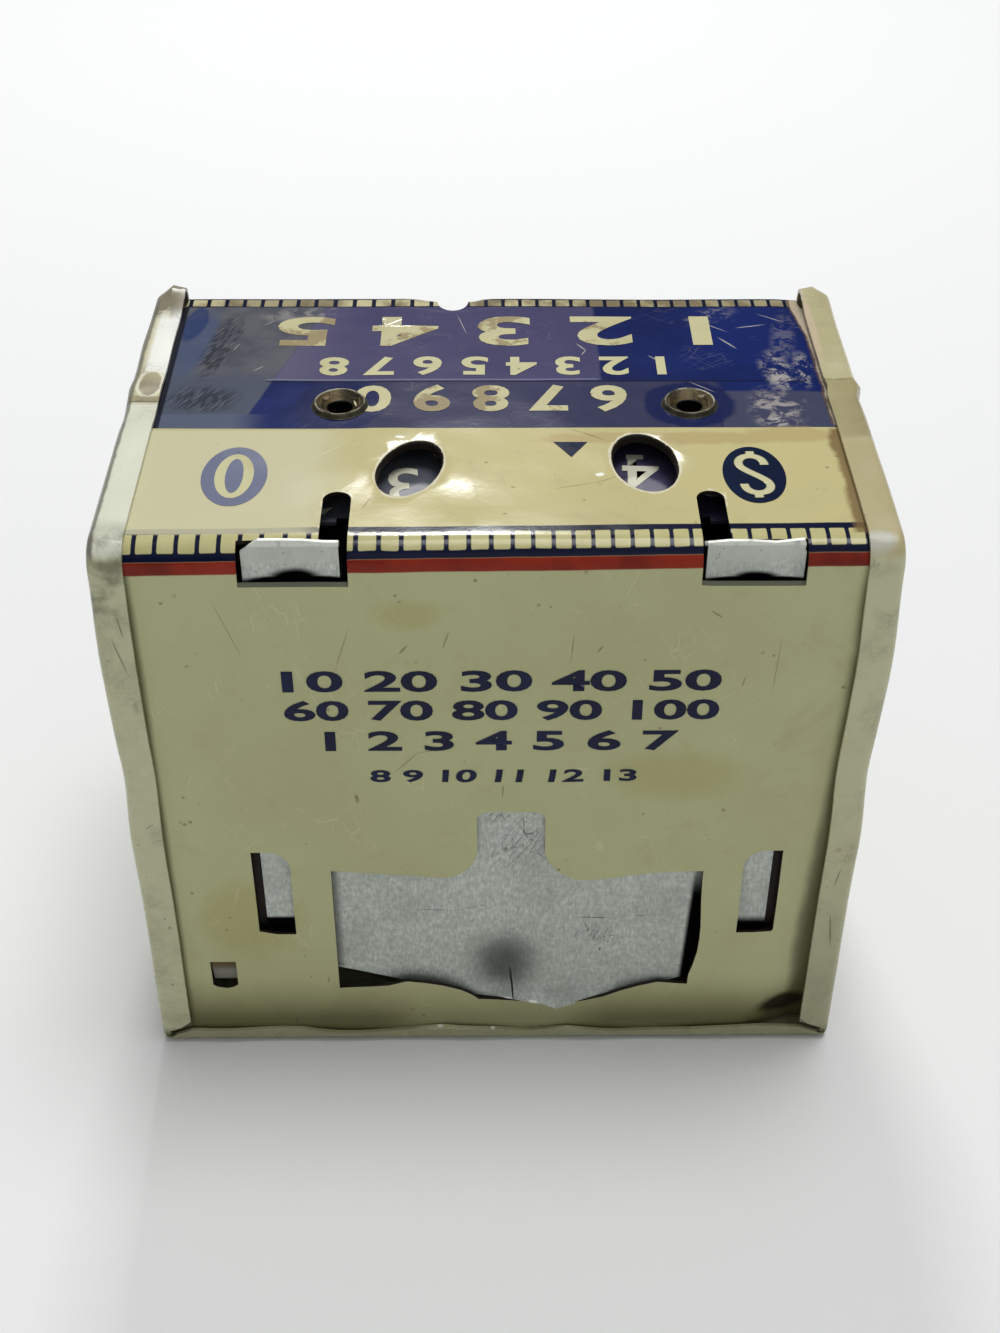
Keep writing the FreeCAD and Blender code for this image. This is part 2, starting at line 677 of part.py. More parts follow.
def chute_floor():
    """Floor strip between the two chute plates that the dime slides along."""
    half_gap = coin_slot_width / 2
    top = COIN_BOTTOM - washer_clearance
    return box(COIN_SLOT_X - half_gap, COIN_SLOT_X + half_gap, -COVER_INNER_BACK, WHEEL_AXIS_Y - 4,
               top - sheet, top)


def flap_pin():
    """Pin across the chute that the guard flap hangs on."""
    length = coin_slot_width + 2 * sheet + 2 * pin_overhang
    return Part.makeCylinder(flap_pin_radius, length,
                             FreeCAD.Vector(COIN_SLOT_X - length / 2, FLAP_Y, FLAP_PIN_Z),
                             FreeCAD.Vector(1, 0, 0))


def guard_flap():
    """Flap that hangs across the chute behind the slot."""
    half = coin_slot_width / 2 - flap_side_play
    along = FreeCAD.Vector(1, 0, 0)
    start = FreeCAD.Vector(COIN_SLOT_X - half, FLAP_Y, FLAP_PIN_Z)
    eye = Part.makeCylinder(FLAP_EYE_RADIUS, 2 * half, start, along)
    blade = box(COIN_SLOT_X - half, COIN_SLOT_X + half, FLAP_Y - flap_thickness / 2,
                FLAP_Y + flap_thickness / 2, FLAP_PIN_Z - flap_length, FLAP_PIN_Z)
    bore = Part.makeCylinder(flap_pin_radius + bearing_clearance, 2 * half + 2, start - along, along)
    return join([eye, blade]).cut(bore)


def coin_door():
    """Door plate with two arms up to the ridge and a fin bent from each arm."""
    top = bank_height + arm_rise
    body = box(DOOR_LEFT, DOOR_RIGHT, DOOR_FRONT, DOOR_BACK, door_bottom, door_body_top)
    parts = [body]
    for arm_x, fin_x, chamfer_side in ((RIGHT_ARM_X, RIGHT_FIN_X, 1), (LEFT_ARM_X, LEFT_FIN_X, -1)):
        arm = box(arm_x, arm_x + arm_width, DOOR_FRONT, DOOR_BACK, door_body_top - 1, top)
        corner = arm_x + arm_width if chamfer_side > 0 else arm_x
        y = DOOR_FRONT - 1
        wedge = prism([FreeCAD.Vector(corner, y, top), FreeCAD.Vector(corner - chamfer_side * arm_corner, y, top),
                       FreeCAD.Vector(corner, y, top - arm_corner)], FreeCAD.Vector(0, 3, 0))
        parts.append(arm.cut(wedge))
        fin = box(fin_x, fin_x + sheet, FIN_TIP_Y, DOOR_BACK, FIN_BOTTOM, FIN_TOP)
        parts.append(fin)
    return join(parts)


SHAPES = {
    "casing": casing(),
    "cover_sheet": cover_sheet(),
    "dimes_eyelet": eyelet(DIMES_AXIS_X),
    "dollars_eyelet": eyelet(DOLLARS_AXIS_X),
    "dimes_spacer": spacer(DIMES_AXIS_X),
    "dollars_spacer": spacer(DOLLARS_AXIS_X),
    "dimes_retaining_washer": retaining_washer(DIMES_AXIS_X),
    "dollars_retaining_washer": retaining_washer(DOLLARS_AXIS_X),
    "dimes_click_spring": click_spring(DIMES_AXIS_X, 1),
    "dollars_click_spring": click_spring(DOLLARS_AXIS_X, -1),
    "click_spring_rivets": click_spring_rivets(),
    "chute_plate_left": chute_plate(-1),
    "chute_plate_right": chute_plate(1),
    "chute_floor": chute_floor(),
    "chute_rivets": chute_rivets(),
    "guard_flap_pin": flap_pin(),
    "coin_guard_flap": guard_flap(),
    "dimes_dial": dial(DIMES_AXIS_X, RIGHT_FIN_X),
    "dimes_hub": hub(DIMES_AXIS_X),
    "dimes_carry_finger": carry_finger(),
    "dimes_star_wheel": star_wheel(DIMES_AXIS_X),
    "dollars_dial": dial(DOLLARS_AXIS_X, LEFT_FIN_X),
    "dollars_hub": hub(DOLLARS_AXIS_X),
    "dollars_carry_wheel": carry_wheel(),
    "dollars_click_wheel": star_wheel(DOLLARS_AXIS_X),
    "coin_door": coin_door(),
}

os.makedirs("parts", exist_ok=True)
for name, shape in SHAPES.items():
    shape.exportStep("parts/" + name + ".step")
    print(name, "solids", len(shape.Solids), "valid", shape.isValid(), "volume %.3f" % shape.Volume)
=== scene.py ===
import bmesh
import bpy
import json
import math
from mathutils import Matrix, Vector, noise

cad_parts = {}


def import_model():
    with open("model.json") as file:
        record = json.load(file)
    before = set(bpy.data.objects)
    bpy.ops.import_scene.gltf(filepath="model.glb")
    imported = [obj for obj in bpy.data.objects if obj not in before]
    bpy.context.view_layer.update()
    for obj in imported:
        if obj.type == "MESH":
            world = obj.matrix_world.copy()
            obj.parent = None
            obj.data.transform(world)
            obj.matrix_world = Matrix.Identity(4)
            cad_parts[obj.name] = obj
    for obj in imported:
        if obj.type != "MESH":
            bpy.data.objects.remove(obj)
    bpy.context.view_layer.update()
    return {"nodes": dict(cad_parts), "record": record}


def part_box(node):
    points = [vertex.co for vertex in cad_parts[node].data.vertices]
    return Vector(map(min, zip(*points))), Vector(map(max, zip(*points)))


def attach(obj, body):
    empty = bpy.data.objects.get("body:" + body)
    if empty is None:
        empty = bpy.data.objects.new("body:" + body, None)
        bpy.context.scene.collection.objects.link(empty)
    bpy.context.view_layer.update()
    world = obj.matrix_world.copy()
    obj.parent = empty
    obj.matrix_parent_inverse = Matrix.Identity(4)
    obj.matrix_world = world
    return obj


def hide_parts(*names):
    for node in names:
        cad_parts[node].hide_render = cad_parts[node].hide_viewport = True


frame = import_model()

MM = 0.001

# Faces and axes read from the frame, in mm
cover_low, cover_high = [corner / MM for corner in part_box("cover_sheet")]
DIAL_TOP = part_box("dimes_dial")[1].z / MM
TOP, BACK, FRONT = cover_high.z, cover_high.y, cover_low.y
RIDGE_BEND = 2.6        # outer radius of the ridge over the back
WIDE_BEND = 3.0         # outer radius of the front edge in the CAD
TIGHT_BEND = 0.5        # outer radius of the front edge as folded
SHEET = 0.4


def axis_of(node):
    """Middle of a node, in mm."""
    low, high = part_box(node)
    return (low + high) / (2 * MM)


DIMES_AXIS = axis_of("dimes_hub")
DOLLARS_AXIS = axis_of("dollars_hub")

# Places on the cover, in mm
FIELD_BACK, FIELD_FRONT = 3.55, -23.7
DIMES_WINDOW, DOLLARS_WINDOW = (8.8, 11.35), (-14.6, 10.6)
WINDOW_HALF_WIDTH, WINDOW_HALF_LENGTH = 3.4, 5.25
# Windows as bent: place in the CAD, lean, shift and share by which each is squeezed
WINDOWS = ((DIMES_WINDOW, 0.17, (-0.35, -0.35), (0.11, 0.067)),
           (DOLLARS_WINDOW, -0.09, (-0.08, -0.5), (0.1, 0.015)))
TONGUE_X, TONGUE_LOW = 30.2, 8.4
NOTCH_X, NOTCH_Y, NOTCH_RADIUS = 4.9, -23.85, 1.75
NOTCH_SHIFT = 0.35
NOTCH_DEEPER = 0.9
INK_LIFT = 0.035
GRID = 2.0


def paint(red, green, blue):
    """Colour as seen, 0 to 255, made linear."""
    def linear(value):
        value /= 255
        return value / 12.92 if value <= 0.04045 else ((value + 0.055) / 1.055) ** 2.4
    return (linear(red), linear(green), linear(blue), 1)


class Recipe:
    """Writes the nodes of one procedural finish; x, y and z are the object's coordinates in mm."""

    def __init__(self, name):
        self.material = bpy.data.materials.new(name)
        self.material.use_nodes = True
        self.tree = self.material.node_tree
        self.shader = self.tree.nodes["Principled BSDF"]
        self.coords = self.tree.nodes.new("ShaderNodeTexCoord").outputs["Object"]
        grown = self.tree.nodes.new("ShaderNodeVectorMath")
        grown.operation = "SCALE"
        grown.inputs["Scale"].default_value = 1 / MM
        self.tree.links.new(self.coords, grown.inputs[0])
        split = self.tree.nodes.new("ShaderNodeSeparateXYZ")
        self.tree.links.new(grown.outputs[0], split.inputs[0])
        self.x, self.y, self.z = split.outputs

    def feed(self, socket, value):
        """Link a socket or set a plain value; three numbers are a colour as seen."""
        if isinstance(value, bpy.types.NodeSocket):
            self.tree.links.new(value, socket)
        elif isinstance(value, tuple) and len(value) == 3:
            socket.default_value = paint(*value)
        else:
            socket.default_value = value

    def math(self, operation, a, b=0.0, clamp=False):
        node = self.tree.nodes.new("ShaderNodeMath")
        node.operation = operation
        node.use_clamp = clamp
        self.feed(node.inputs[0], a)
        self.feed(node.inputs[1], b)
        return node.outputs[0]

    def add(self, a, b):
        return self.math("ADD", a, b)

    def take(self, a, b):
        return self.math("SUBTRACT", a, b)

    def times(self, a, b):
        return self.math("MULTIPLY", a, b)

    def step(self, value, low, high):
        """0 below low, 1 above high, smooth between."""
        node = self.tree.nodes.new("ShaderNodeMapRange")
        node.interpolation_type = "SMOOTHSTEP"
        self.feed(node.inputs[0], value)
        falling = low > high
        node.inputs[1].default_value = high if falling else low
        node.inputs[2].default_value = low if falling else high
        if falling:
            node.inputs[3].default_value, node.inputs[4].default_value = 1.0, 0.0
        return node.outputs[0]

    def band(self, value, low, high, soft=0.06):
        """1 between low and high."""
        return self.math("SUBTRACT", self.step(value, low - soft, low + soft),
                         self.step(value, high - soft, high + soft), clamp=True)

    def all(self, *masks):
        result = masks[0]
        for mask in masks[1:]:
            result = self.times(result, mask)
        return result

    def any(self, *masks):
        result = masks[0]
        for mask in masks[1:]:
            result = self.math("MAXIMUM", result, mask)
        return result

    def flip(self, mask):
        return self.take(1.0, mask)

    def mark(self, name):
        """A value that the mesh carries on its faces."""
        node = self.tree.nodes.new("ShaderNodeAttribute")
        node.attribute_name = name
        return node.outputs["Fac"]

    def stretched(self, size, turn=(0, 0, 0)):
        """Coordinates scaled so that one unit is size mm along each axis, after a turn."""
        node = self.tree.nodes.new("ShaderNodeMapping")
        node.vector_type = "TEXTURE"
        node.inputs["Rotation"].default_value = turn
        node.inputs["Scale"].default_value = [length * MM for length in size]
        self.tree.links.new(self.coords, node.inputs["Vector"])
        return node.outputs[0]

    def noise(self, size, detail=3.0, roughness=0.55, vector=None, distortion=0.0):
        """Cloudy pattern with features of about size mm."""
        node = self.tree.nodes.new("ShaderNodeTexNoise")
        node.inputs["Scale"].default_value = 1.0 if vector else 1 / (size * MM)
        node.inputs["Detail"].default_value = detail
        node.inputs["Roughness"].default_value = roughness
        node.inputs["Distortion"].default_value = distortion
        self.tree.links.new(vector or self.coords, node.inputs["Vector"])
        return node.outputs[0]

    def wavy(self, value, amount, size, detail=3.0, roughness=0.55):
        """A value swung by up to half the amount either way."""
        return self.add(value, self.times(self.take(self.noise(size, detail, roughness), 0.5), amount))

    def cells(self, size, feature="F1", vector=None):
        node = self.tree.nodes.new("ShaderNodeTexVoronoi")
        node.feature = feature
        node.inputs["Scale"].default_value = 1.0 if vector else 1 / (size * MM)
        self.tree.links.new(vector or self.coords, node.inputs["Vector"])
        return node.outputs["Distance"]

    def spot(self, place, radii, angle=0.0, soft=0.3, ragged=0.0, upright=False):
        """Ellipse on the top, or on an upright face, of the given place and radii in mm."""
        node = self.tree.nodes.new("ShaderNodeMapping")
        node.vector_type = "TEXTURE"
        wide, long = radii
        if upright:
            node.inputs["Location"].default_value = (place[0] * MM, 0, place[1] * MM)
            node.inputs["Rotation"].default_value = (0, -math.radians(angle), 0)
            node.inputs["Scale"].default_value = (wide * MM, 1e4, long * MM)
        else:
            node.inputs["Location"].default_value = (place[0] * MM, place[1] * MM, 0)
            node.inputs["Rotation"].default_value = (0, 0, math.radians(angle))
            node.inputs["Scale"].default_value = (wide * MM, long * MM, 1e4)
        self.tree.links.new(self.coords, node.inputs["Vector"])
        length = self.tree.nodes.new("ShaderNodeVectorMath")
        length.operation = "LENGTH"
        self.tree.links.new(node.outputs[0], length.inputs[0])
        distance = length.outputs["Value"]
        if ragged:
            distance = self.add(distance, self.times(self.take(self.rag(), 0.5), ragged))
        return self.step(distance, 1.0 + soft / 2, 1.0 - soft / 2)

    def reach(self, place, radii=(1.0, 1.0), lean=0.0):
        """Distance from a place on the top, counted in radii, in a plane that leans sideways with y."""
        dy = self.take(self.y, place[1])
        dx = self.take(self.take(self.x, place[0]), self.times(dy, lean))
        dx = self.times(dx, 1 / radii[0])
        dy = self.times(dy, 1 / radii[1])
        return self.math("SQRT", self.add(self.times(dx, dx), self.times(dy, dy)))

    def rag(self):
        """Shared fine noise for ragged outlines."""
        if not hasattr(self, "rag_socket"):
            self.rag_socket = self.noise(2.2, 5.0, 0.65)
        return self.rag_socket

    def line(self, start, end, width, upright=False):
        """Thin scratch between two points."""
        dx, dy = end[0] - start[0], end[1] - start[1]
        middle = ((start[0] + end[0]) / 2, (start[1] + end[1]) / 2)
        return self.spot(middle, (math.hypot(dx, dy) / 2, width), math.degrees(math.atan2(dy, dx)), 0.6,
                         upright=upright)

    def lines(self, marks, upright=False):
        return self.any(*[self.line(*mark, upright=upright) for mark in marks])

    def hairlines(self, length, spread, turn, width, gate=0.55):
        """Crisp fine scratches that run one way, broken here and there."""
        lines = self.cells(1.0, "DISTANCE_TO_EDGE", self.stretched((length, spread, spread), turn))
        return self.all(self.step(lines, width, width * 0.4),
                        self.step(self.noise(6.0, 2.0), gate, gate + 0.06))

    def specks(self, size, radius, gate=0.6):
        """Small scattered dots."""
        return self.all(self.step(self.cells(size), radius, radius * 0.6),
                        self.step(self.noise(size * 2.5, 1.0), gate, gate + 0.06))

    def mix(self, factor, a, b):
        node = self.tree.nodes.new("ShaderNodeMix")
        node.data_type = "RGBA"
        self.feed(node.inputs["Factor"], factor)
        self.feed(node.inputs["A"], a)
        self.feed(node.inputs["B"], b)
        return node.outputs["Result"]

    def coat(self, mask, over, strength=1.0):
        """Lay a colour over the finish where the mask says."""
        self.color = self.mix(mask if strength == 1.0 else self.times(mask, strength), self.color, over)

    def blend(self, factor, a, b):
        """Mix of two numbers."""
        node = self.tree.nodes.new("ShaderNodeMix")
        self.feed(node.inputs["Factor"], factor)
        self.feed(node.inputs["A"], a)
        self.feed(node.inputs["B"], b)
        return node.outputs["Result"]

    def bump(self, height, distance, normal=None):
        """Relief of the given depth in mm."""
        node = self.tree.nodes.new("ShaderNodeBump")
        node.inputs["Distance"].default_value = distance * MM
        self.feed(node.inputs["Height"], height)
        if normal is not None:
            self.tree.links.new(normal, node.inputs["Normal"])
        return node.outputs[0]

    def finish(self, roughness, normal=None, metallic=0.0, specular=0.5):
        """Put the colour and the gloss on the shader."""
        self.feed(self.shader.inputs["Base Color"], self.color)
        self.feed(self.shader.inputs["Roughness"], roughness)
        self.feed(self.shader.inputs["Metallic"], metallic)
        self.shader.inputs["Specular IOR Level"].default_value = specular
        if normal is not None:
            self.tree.links.new(normal, self.shader.inputs["Normal"])
        return self.material


CREAM_TOP = (198, 188, 136)
# The back's cream is a greener copy of the top's, a painted tint for the shade the back lies in
CREAM_BACK_SHADE_TINT = (189, 190, 144)
NAVY = (8, 24, 76)
RED = (152, 42, 16)


def bend_run(r, dy, radius):
    """Distance over a rounded edge in mm: below 0 on the top, past the bend down the upright side."""
    dz = r.take(r.z, TOP - radius)
    turn = r.math("ARCTAN2", r.math("MAXIMUM", dy, 0.0), r.math("MAXIMUM", dz, 0.0))
    level = r.math("MINIMUM", dy, 0.0)
    down = r.math("MINIMUM", dz, 0.0)
    return r.take(r.add(level, r.times(turn, radius)), down)


def worn_cream(r, fresh):
    """Clouds, stains and grains over a cream that differs from face to face."""
    r.color = fresh
    r.coat(r.step(r.noise(26.0, 3.0), 0.38, 0.66), (0.42, 0.38, 0.19, 1), 0.30)
    r.coat(r.step(r.noise(3.5, 4.0, 0.6), 0.55, 0.75), (0.40, 0.34, 0.19, 1), 0.22)
    r.coat(r.step(r.noise(14.0, 5.0, 0.65, distortion=0.8), 0.60, 0.76), (0.33, 0.27, 0.13, 1), 0.28)
    r.coat(r.specks(1.6, 0.16), (0.13, 0.10, 0.06, 1), 0.55)
    r.coat(r.specks(0.9, 0.2, 0.64), (0.20, 0.17, 0.10, 1), 0.35)


def sheet_relief(r, strength=1.0):
    """Slow dents of thin sheet under a faint orange peel."""
    dents = r.bump(r.noise(13.0, 2.0, 0.5), 0.22 * strength)
    return r.bump(r.noise(0.8, 3.0, 0.6), 0.008, dents)


# Squares of the front edge and of the ridge: shift and tightness of the row, then where the tightness changes
FRONT_SQUARES = (0.06, 0.095, ((-18.3, -0.05), (0.9, -0.07), (7.0, -0.05), (20.0, 0.07)))
RIDGE_SQUARES = (-0.16, 0.095, ((-6.0, -0.045), (-0.5, -0.093), (12.0, -0.042), (22.0, 0.1)))


def squares_of(r, run, low, high, spacing):
    """Row of cream squares along a bend; their spacing drifts as on the print."""
    shift, tight, changes = spacing
    count = r.add(r.times(r.x, 1 + tight), 200 + shift)
    for start, change in changes:
        count = r.add(count, r.times(r.math("MAXIMUM", r.take(r.x, start), 0.0), change))
    phase = r.math("FRACT", r.times(count, 0.5))
    across = r.math("ABSOLUTE", r.take(phase, 0.51))
    along = r.math("ABSOLUTE", r.take(r.wavy(run, 0.25, 3.0, 2.0), (low + high) / 2))
    corner = r.math("MAXIMUM", r.add(r.times(across, 2.0), r.times(along, 0.78 / (high - low) * 2)), 0.0)
    return r.all(r.step(across, 0.41, 0.37), r.step(along, (high - low) / 2 + 0.06, (high - low) / 2 - 0.06),
                 r.step(corner, 1.53, 1.43))


def navy_field(r, top):
    """Dark panel of the top with its films, rings, crinkles, rubbed patches and a painted shadow line along
    the left flange.
    """
    inside = r.all(top, r.band(r.y, FIELD_FRONT, FIELD_BACK, 0.05))
    ground = r.color
    r.color = r.mix(r.step(r.noise(18.0, 4.0), 0.4, 0.7), NAVY, (14, 34, 98))
    cloud = r.noise(5.0, 5.0, 0.6)
    sway = r.times(r.take(r.noise(7.0, 3.0), 0.5), 1.6)
    x = r.add(r.x, r.times(sway, 0.6))
    y = r.add(r.y, r.times(sway, 0.35))
    diagonal = r.add(r.x, r.times(y, -0.28))
    film = r.mix(cloud, (64, 61, 96), (80, 75, 108))
    film = r.mix(r.step(r.x, 13.0, 24.0), film, (98, 92, 118))
    purple = r.all(r.step(diagonal, 25.2, 24.9), r.step(x, -11.4, -10.9), r.step(y, -6.1, -6.35))
    r.coat(purple, film, 0.92)
    slate = r.all(r.step(diagonal, 24.9, 25.2), r.step(y, 0.9, 0.6))
    slate_color = r.mix(r.step(cloud, 0.4, 0.6), (82, 84, 90), (98, 98, 102))
    slate_color = r.mix(r.step(r.y, -10.0, -5.0), slate_color, (82, 88, 100))
    r.coat(slate, slate_color, 0.9)
    r.coat(r.all(slate, r.spot((32.4, -14.5), (1.8, 7.6), -6, 0.6, 0.6)), (72, 84, 112), 0.8)
    r.coat(r.all(slate, r.spot((33.0, -18.8), (1.3, 3.9), -8, 0.3, 0.5)), (40, 56, 98), 0.85)
    strip = r.all(r.step(y, 0.5, 0.8), r.step(x, 22.5, 27.5))
    r.coat(strip, (90, 98, 116), 0.9)
    middle = r.all(r.step(y, -6.0, -5.75), r.band(x, -23.4, 13.0, 0.8))
    r.coat(middle, r.mix(cloud, (44, 46, 76), (66, 65, 90)), 0.85)
    grey_film = r.all(r.step(r.x, -23.1, -23.3), r.step(y, -4.0, -3.5))
    r.coat(grey_film, r.mix(cloud, (62, 64, 86), (78, 80, 98)), 0.85)
    rings = r.any(r.spot((DIMES_AXIS.x, DIMES_AXIS.y), (4.6, 4.8), 0, 0.16, 0.3),
                  r.spot((DOLLARS_AXIS.x, DOLLARS_AXIS.y), (4.7, 4.6), 0, 0.16, 0.3))
    r.coat(rings, (10, 22, 74), 0.9)
    seam = r.add(r.y, r.times(sway, 0.12))
    tape = r.all(r.band(seam, -6.42, -6.12, 0.08), r.band(r.x, -11.0, 24.0, 0.5))
    r.coat(tape, (150, 150, 175), 0.45)
    under = r.all(r.band(seam, -6.1, -5.7, 0.12), r.band(r.x, -33.0, 24.0, 0.5))
    r.coat(under, (8, 12, 40), 0.7)
    scuffs_and_crinkle_light(r)
    # Painted shadow: a dark line along the left flange's inner edge
    r.coat(r.step(r.x, 34.0, 34.2), (10, 12, 26), 0.9)
    r.color = r.mix(inside, ground, r.color)
    return inside


# Rubbed patches of the dark panel: place, radii, angle, strength
RUBBED = (((-30.1, -7.8), (1.5, 3.6), 8, 0.85), ((-32.9, -8.4), (0.9, 3.2), 0, 0.8),
          ((-29.0, -0.2), (2.6, 3.6), 0, 0.7), ((-28.8, 2.5), (0.9, 0.8), 0, 0.95),
          ((-31.6, -15.5), (1.2, 5.0), -8, 0.22), ((-24.0, -20.5), (3.0, 1.4), 30, 0.35),
          ((21.0, -21.0), (4.0, 1.5), 10, 0.4))
# Scratches of the dark panel: start, end, width
PANEL_MARKS = (((-24.6, -15.3), (-26.2, -13.0), 0.10), ((-26.8, -17.6), (-29.8, -18.3), 0.08),
               ((-22.6, -19.2), (-25.5, -16.8), 0.06), ((-9.0, -14.0), (-9.9, -12.6), 0.08),
               ((-9.9, -12.6), (-9.4, -11.6), 0.06), ((-16.6, -11.4), (-17.8, -10.0), 0.07),
               ((-29.5, -20.8), (-32.0, -19.0), 0.06), ((24.2, -19.6), (25.4, -18.4), 0.04),
               ((24.6, -9.2), (25.6, -8.2), 0.05), ((-20.6, -5.6), (-22.9, -3.6), 0.05),
               ((27.6, -14.2), (28.2, -12.6), 0.04), ((4.0, -20.6), (3.0, -16.4), 0.04))


def crinkles(r):
    """Fine crinkled film at the left of the dark panel: where it lies and its short lines."""
    place = r.any(r.spot((29.6, -13.6), (1.5, 6.8), -10, 0.7, 0.8),
                  r.spot((30.2, -2.4), (3.4, 2.5), 0, 0.7, 0.8))
    lines = r.cells(1.0, "DISTANCE_TO_EDGE", r.stretched((2.8, 0.3, 1.0), (0, 0, 1.06)))
    return place, lines


def scuffs_and_crinkle_light(r):
    """Whitish rubbing, crinkles with a painted highlight on their ridges, and single scratches on the dark
    panel.
    """
    patchy = r.step(r.noise(1.6, 6.0, 0.72, distortion=0.5), 0.46, 0.58)
    for place, radii, angle, strength in RUBBED:
        rubbed = r.all(patchy, r.spot(place, radii, angle, 0.9, 0.7))
        r.coat(rubbed, (176, 170, 164), strength)
    place, lines = crinkles(r)
    r.coat(r.all(place, r.step(lines, 0.16, 0.08)), (36, 38, 46), 0.7)
    # Painted highlight: lighter lines on the ridges between the crinkles
    r.coat(r.all(place, r.step(lines, 0.26, 0.36)), (122, 122, 122), 0.3)
    r.coat(r.lines(PANEL_MARKS), (196, 190, 180), 0.75)
    fine = r.any(r.hairlines(7.0, 1.1, (0, 0, 0.7), 0.018, 0.58),
                 r.hairlines(9.0, 1.4, (0, 0, 2.3), 0.014, 0.6))
    r.coat(fine, (140, 138, 140), 0.2)


# Scratches of the back panel: start, end, width
BACK_MARKS = (((10.3, 40.6), (7.9, 43.2), 0.06), ((7.9, 43.2), (4.4, 43.9), 0.05),
              ((-7.4, 58.2), (-7.1, 54.6), 0.05), ((15.6, 54.0), (14.2, 58.6), 0.05),
              ((9.4, 55.8), (8.6, 56.8), 0.12), ((5.2, 56.4), (4.6, 58.4), 0.07),
              ((-9.7, 55.9), (-10.2, 56.7), 0.10), ((-0.6, 37.2), (-0.7, 38.9), 0.07),
              ((18.6, 10.2), (18.7, 9.4), 0.1), ((-20.3, 60.8), (-21.4, 60.0), 0.10),
              ((-24.2, 52.8), (-24.0, 51.6), 0.06), ((14.4, 37.6), (14.2, 36.4), 0.2),
              ((-27.3, 57.4), (-27.0, 51.0), 0.04), ((26.8, 62.0), (24.6, 55.6), 0.04))


def back_wear_and_shade(r, back):
    """Stains and hairlines of the back panel, with painted shade low down, along both flanges and in the
    lower right corner.
    """
    stains = r.any(r.spot((26.6, 19.5), (5.2, 5.5), 0, 0.8, 0.9, True),
                   r.spot((8.6, 60.4), (3.0, 1.6), 0, 0.9, 0.8, True),
                   r.spot((-18.0, 40.0), (6.0, 3.0), 0, 1.0, 0.9, True))
    r.coat(r.all(stains, back), (172, 162, 96), 0.42)
    r.coat(r.all(r.lines(BACK_MARKS, upright=True), back), (104, 96, 62), 0.6)
    fine = r.any(r.hairlines(9.0, 1.6, (0, 0.9, 0), 0.012, 0.56),
                 r.hairlines(12.0, 2.0, (0, 2.0, 0), 0.012, 0.56))
    r.coat(r.all(fine, back), (232, 230, 190), 0.22)
    # Painted shade: darker towards the bottom of the back, less so in the middle
    middle = r.band(r.x, -10.0, 10.0, 4.0)
    low = r.all(r.step(r.wavy(r.z, 3.0, 8.0), 11.0, 3.0), back, r.blend(middle, 0.85, 0.5))
    r.coat(low, r.mix(r.step(r.z, 6.0, 3.0), (110, 106, 64), (84, 82, 46)))
    # Painted shade: dark bands along the inner edges of both flanges, wider low on the right
    left = r.all(r.step(r.wavy(r.x, 0.4, 6.0), 33.9, 34.7), back)
    depth = r.blend(r.step(r.z, 55.0, 10.0), 0.8, 2.4)
    rightwards = r.times(r.wavy(r.x, 0.8, 6.0), -1.0)
    right = r.all(r.step(r.take(rightwards, r.take(34.6, depth)), 0.0, 1.4), back)
    r.coat(r.any(left, right), (84, 82, 50), 0.75)
    # Painted shade: a dark patch in the lower right corner, where the panel dips
    corner = r.all(r.spot((-32.6, 4.2), (2.6, 1.8), 0, 0.8, 0.6, True), back)
    r.coat(corner, (26, 24, 18), 0.9)


# Scratches of the top panel between the dark field and the ridge
TOP_MARKS = (((-5.6, 14.9), (-9.6, 13.6), 0.05), ((-9.6, 13.6), (-12.2, 12.4), 0.05),
             ((12.0, 16.2), (12.8, 18.4), 0.06), ((-24.4, 9.9), (-24.9, 9.2), 0.1),
             ((-1.4, 14.4), (-1.9, 14.7), 0.12))


def top_wear_and_sheen(r, top):
    """Stains, hairlines, painted glints and sheen, a brown band with painted flange shade, and the peeled
    strip along the right flange of the top panel.
    """
    r.coat(r.all(r.lines(TOP_MARKS), top), (120, 104, 60), 0.7)
    r.coat(r.all(r.line((21.6, 12.6), (15.2, 6.6), 0.05), top), (236, 230, 200), 0.6)
    warm = r.any(r.spot((-17.5, 5.6), (14.0, 1.2), 0, 0.6, 1.2),
                 r.spot((-29.5, 5.0), (4.5, 1.5), 0, 0.6, 0.9))
    r.coat(r.all(warm, top), (176, 152, 104), 0.55)
    # Painted highlights: two small glints on dents of the top
    glints = r.any(r.spot((-10.16, 12.1), (0.45, 0.3), 20, 0.5), r.spot((9.58, 5.27), (0.5, 0.22), -10, 0.5))
    r.coat(r.all(glints, top), (250, 248, 236), 0.9)
    crack = r.lines((((-10.9, 5.9), (-8.7, 4.4), 0.05), ((-8.7, 4.4), (-7.6, 3.9), 0.04)))
    r.coat(r.all(crack, top), (70, 58, 40), 0.8)
    # Painted sheen: paler cream towards the +X end of the top, ahead of the ridge
    painted_sheen = r.all(r.step(r.wavy(r.x, 6.0, 9.0), 13.0, 19.0), r.step(r.y, 3.6, 4.2), top)
    r.coat(painted_sheen, (206, 202, 170), 0.75)
    # Brown band along the right flange's inner edge: a stain together with painted shade of the flange
    stain = r.all(r.step(r.wavy(r.x, 1.6, 3.0), -33.3, -34.0), r.step(r.y, 3.5, 4.2), top)
    r.coat(stain, (120, 95, 60), 0.85)
    width = r.add(r.times(r.step(r.y, -14.0, -24.5), 1.0), 0.1)
    inward = r.take(r.take(r.wavy(r.x, 1.0, 3.2, 5.0, 0.65), -34.5), width)
    ahead_of_ridge = r.step(r.y, 3.4, 2.6)
    r.coat(r.all(r.step(inward, 0.12, -0.12), ahead_of_ridge, top), (188, 174, 150), 0.9)
    r.coat(r.all(r.band(inward, 0.0, 0.22, 0.08), ahead_of_ridge, top), (96, 74, 56), 0.75)


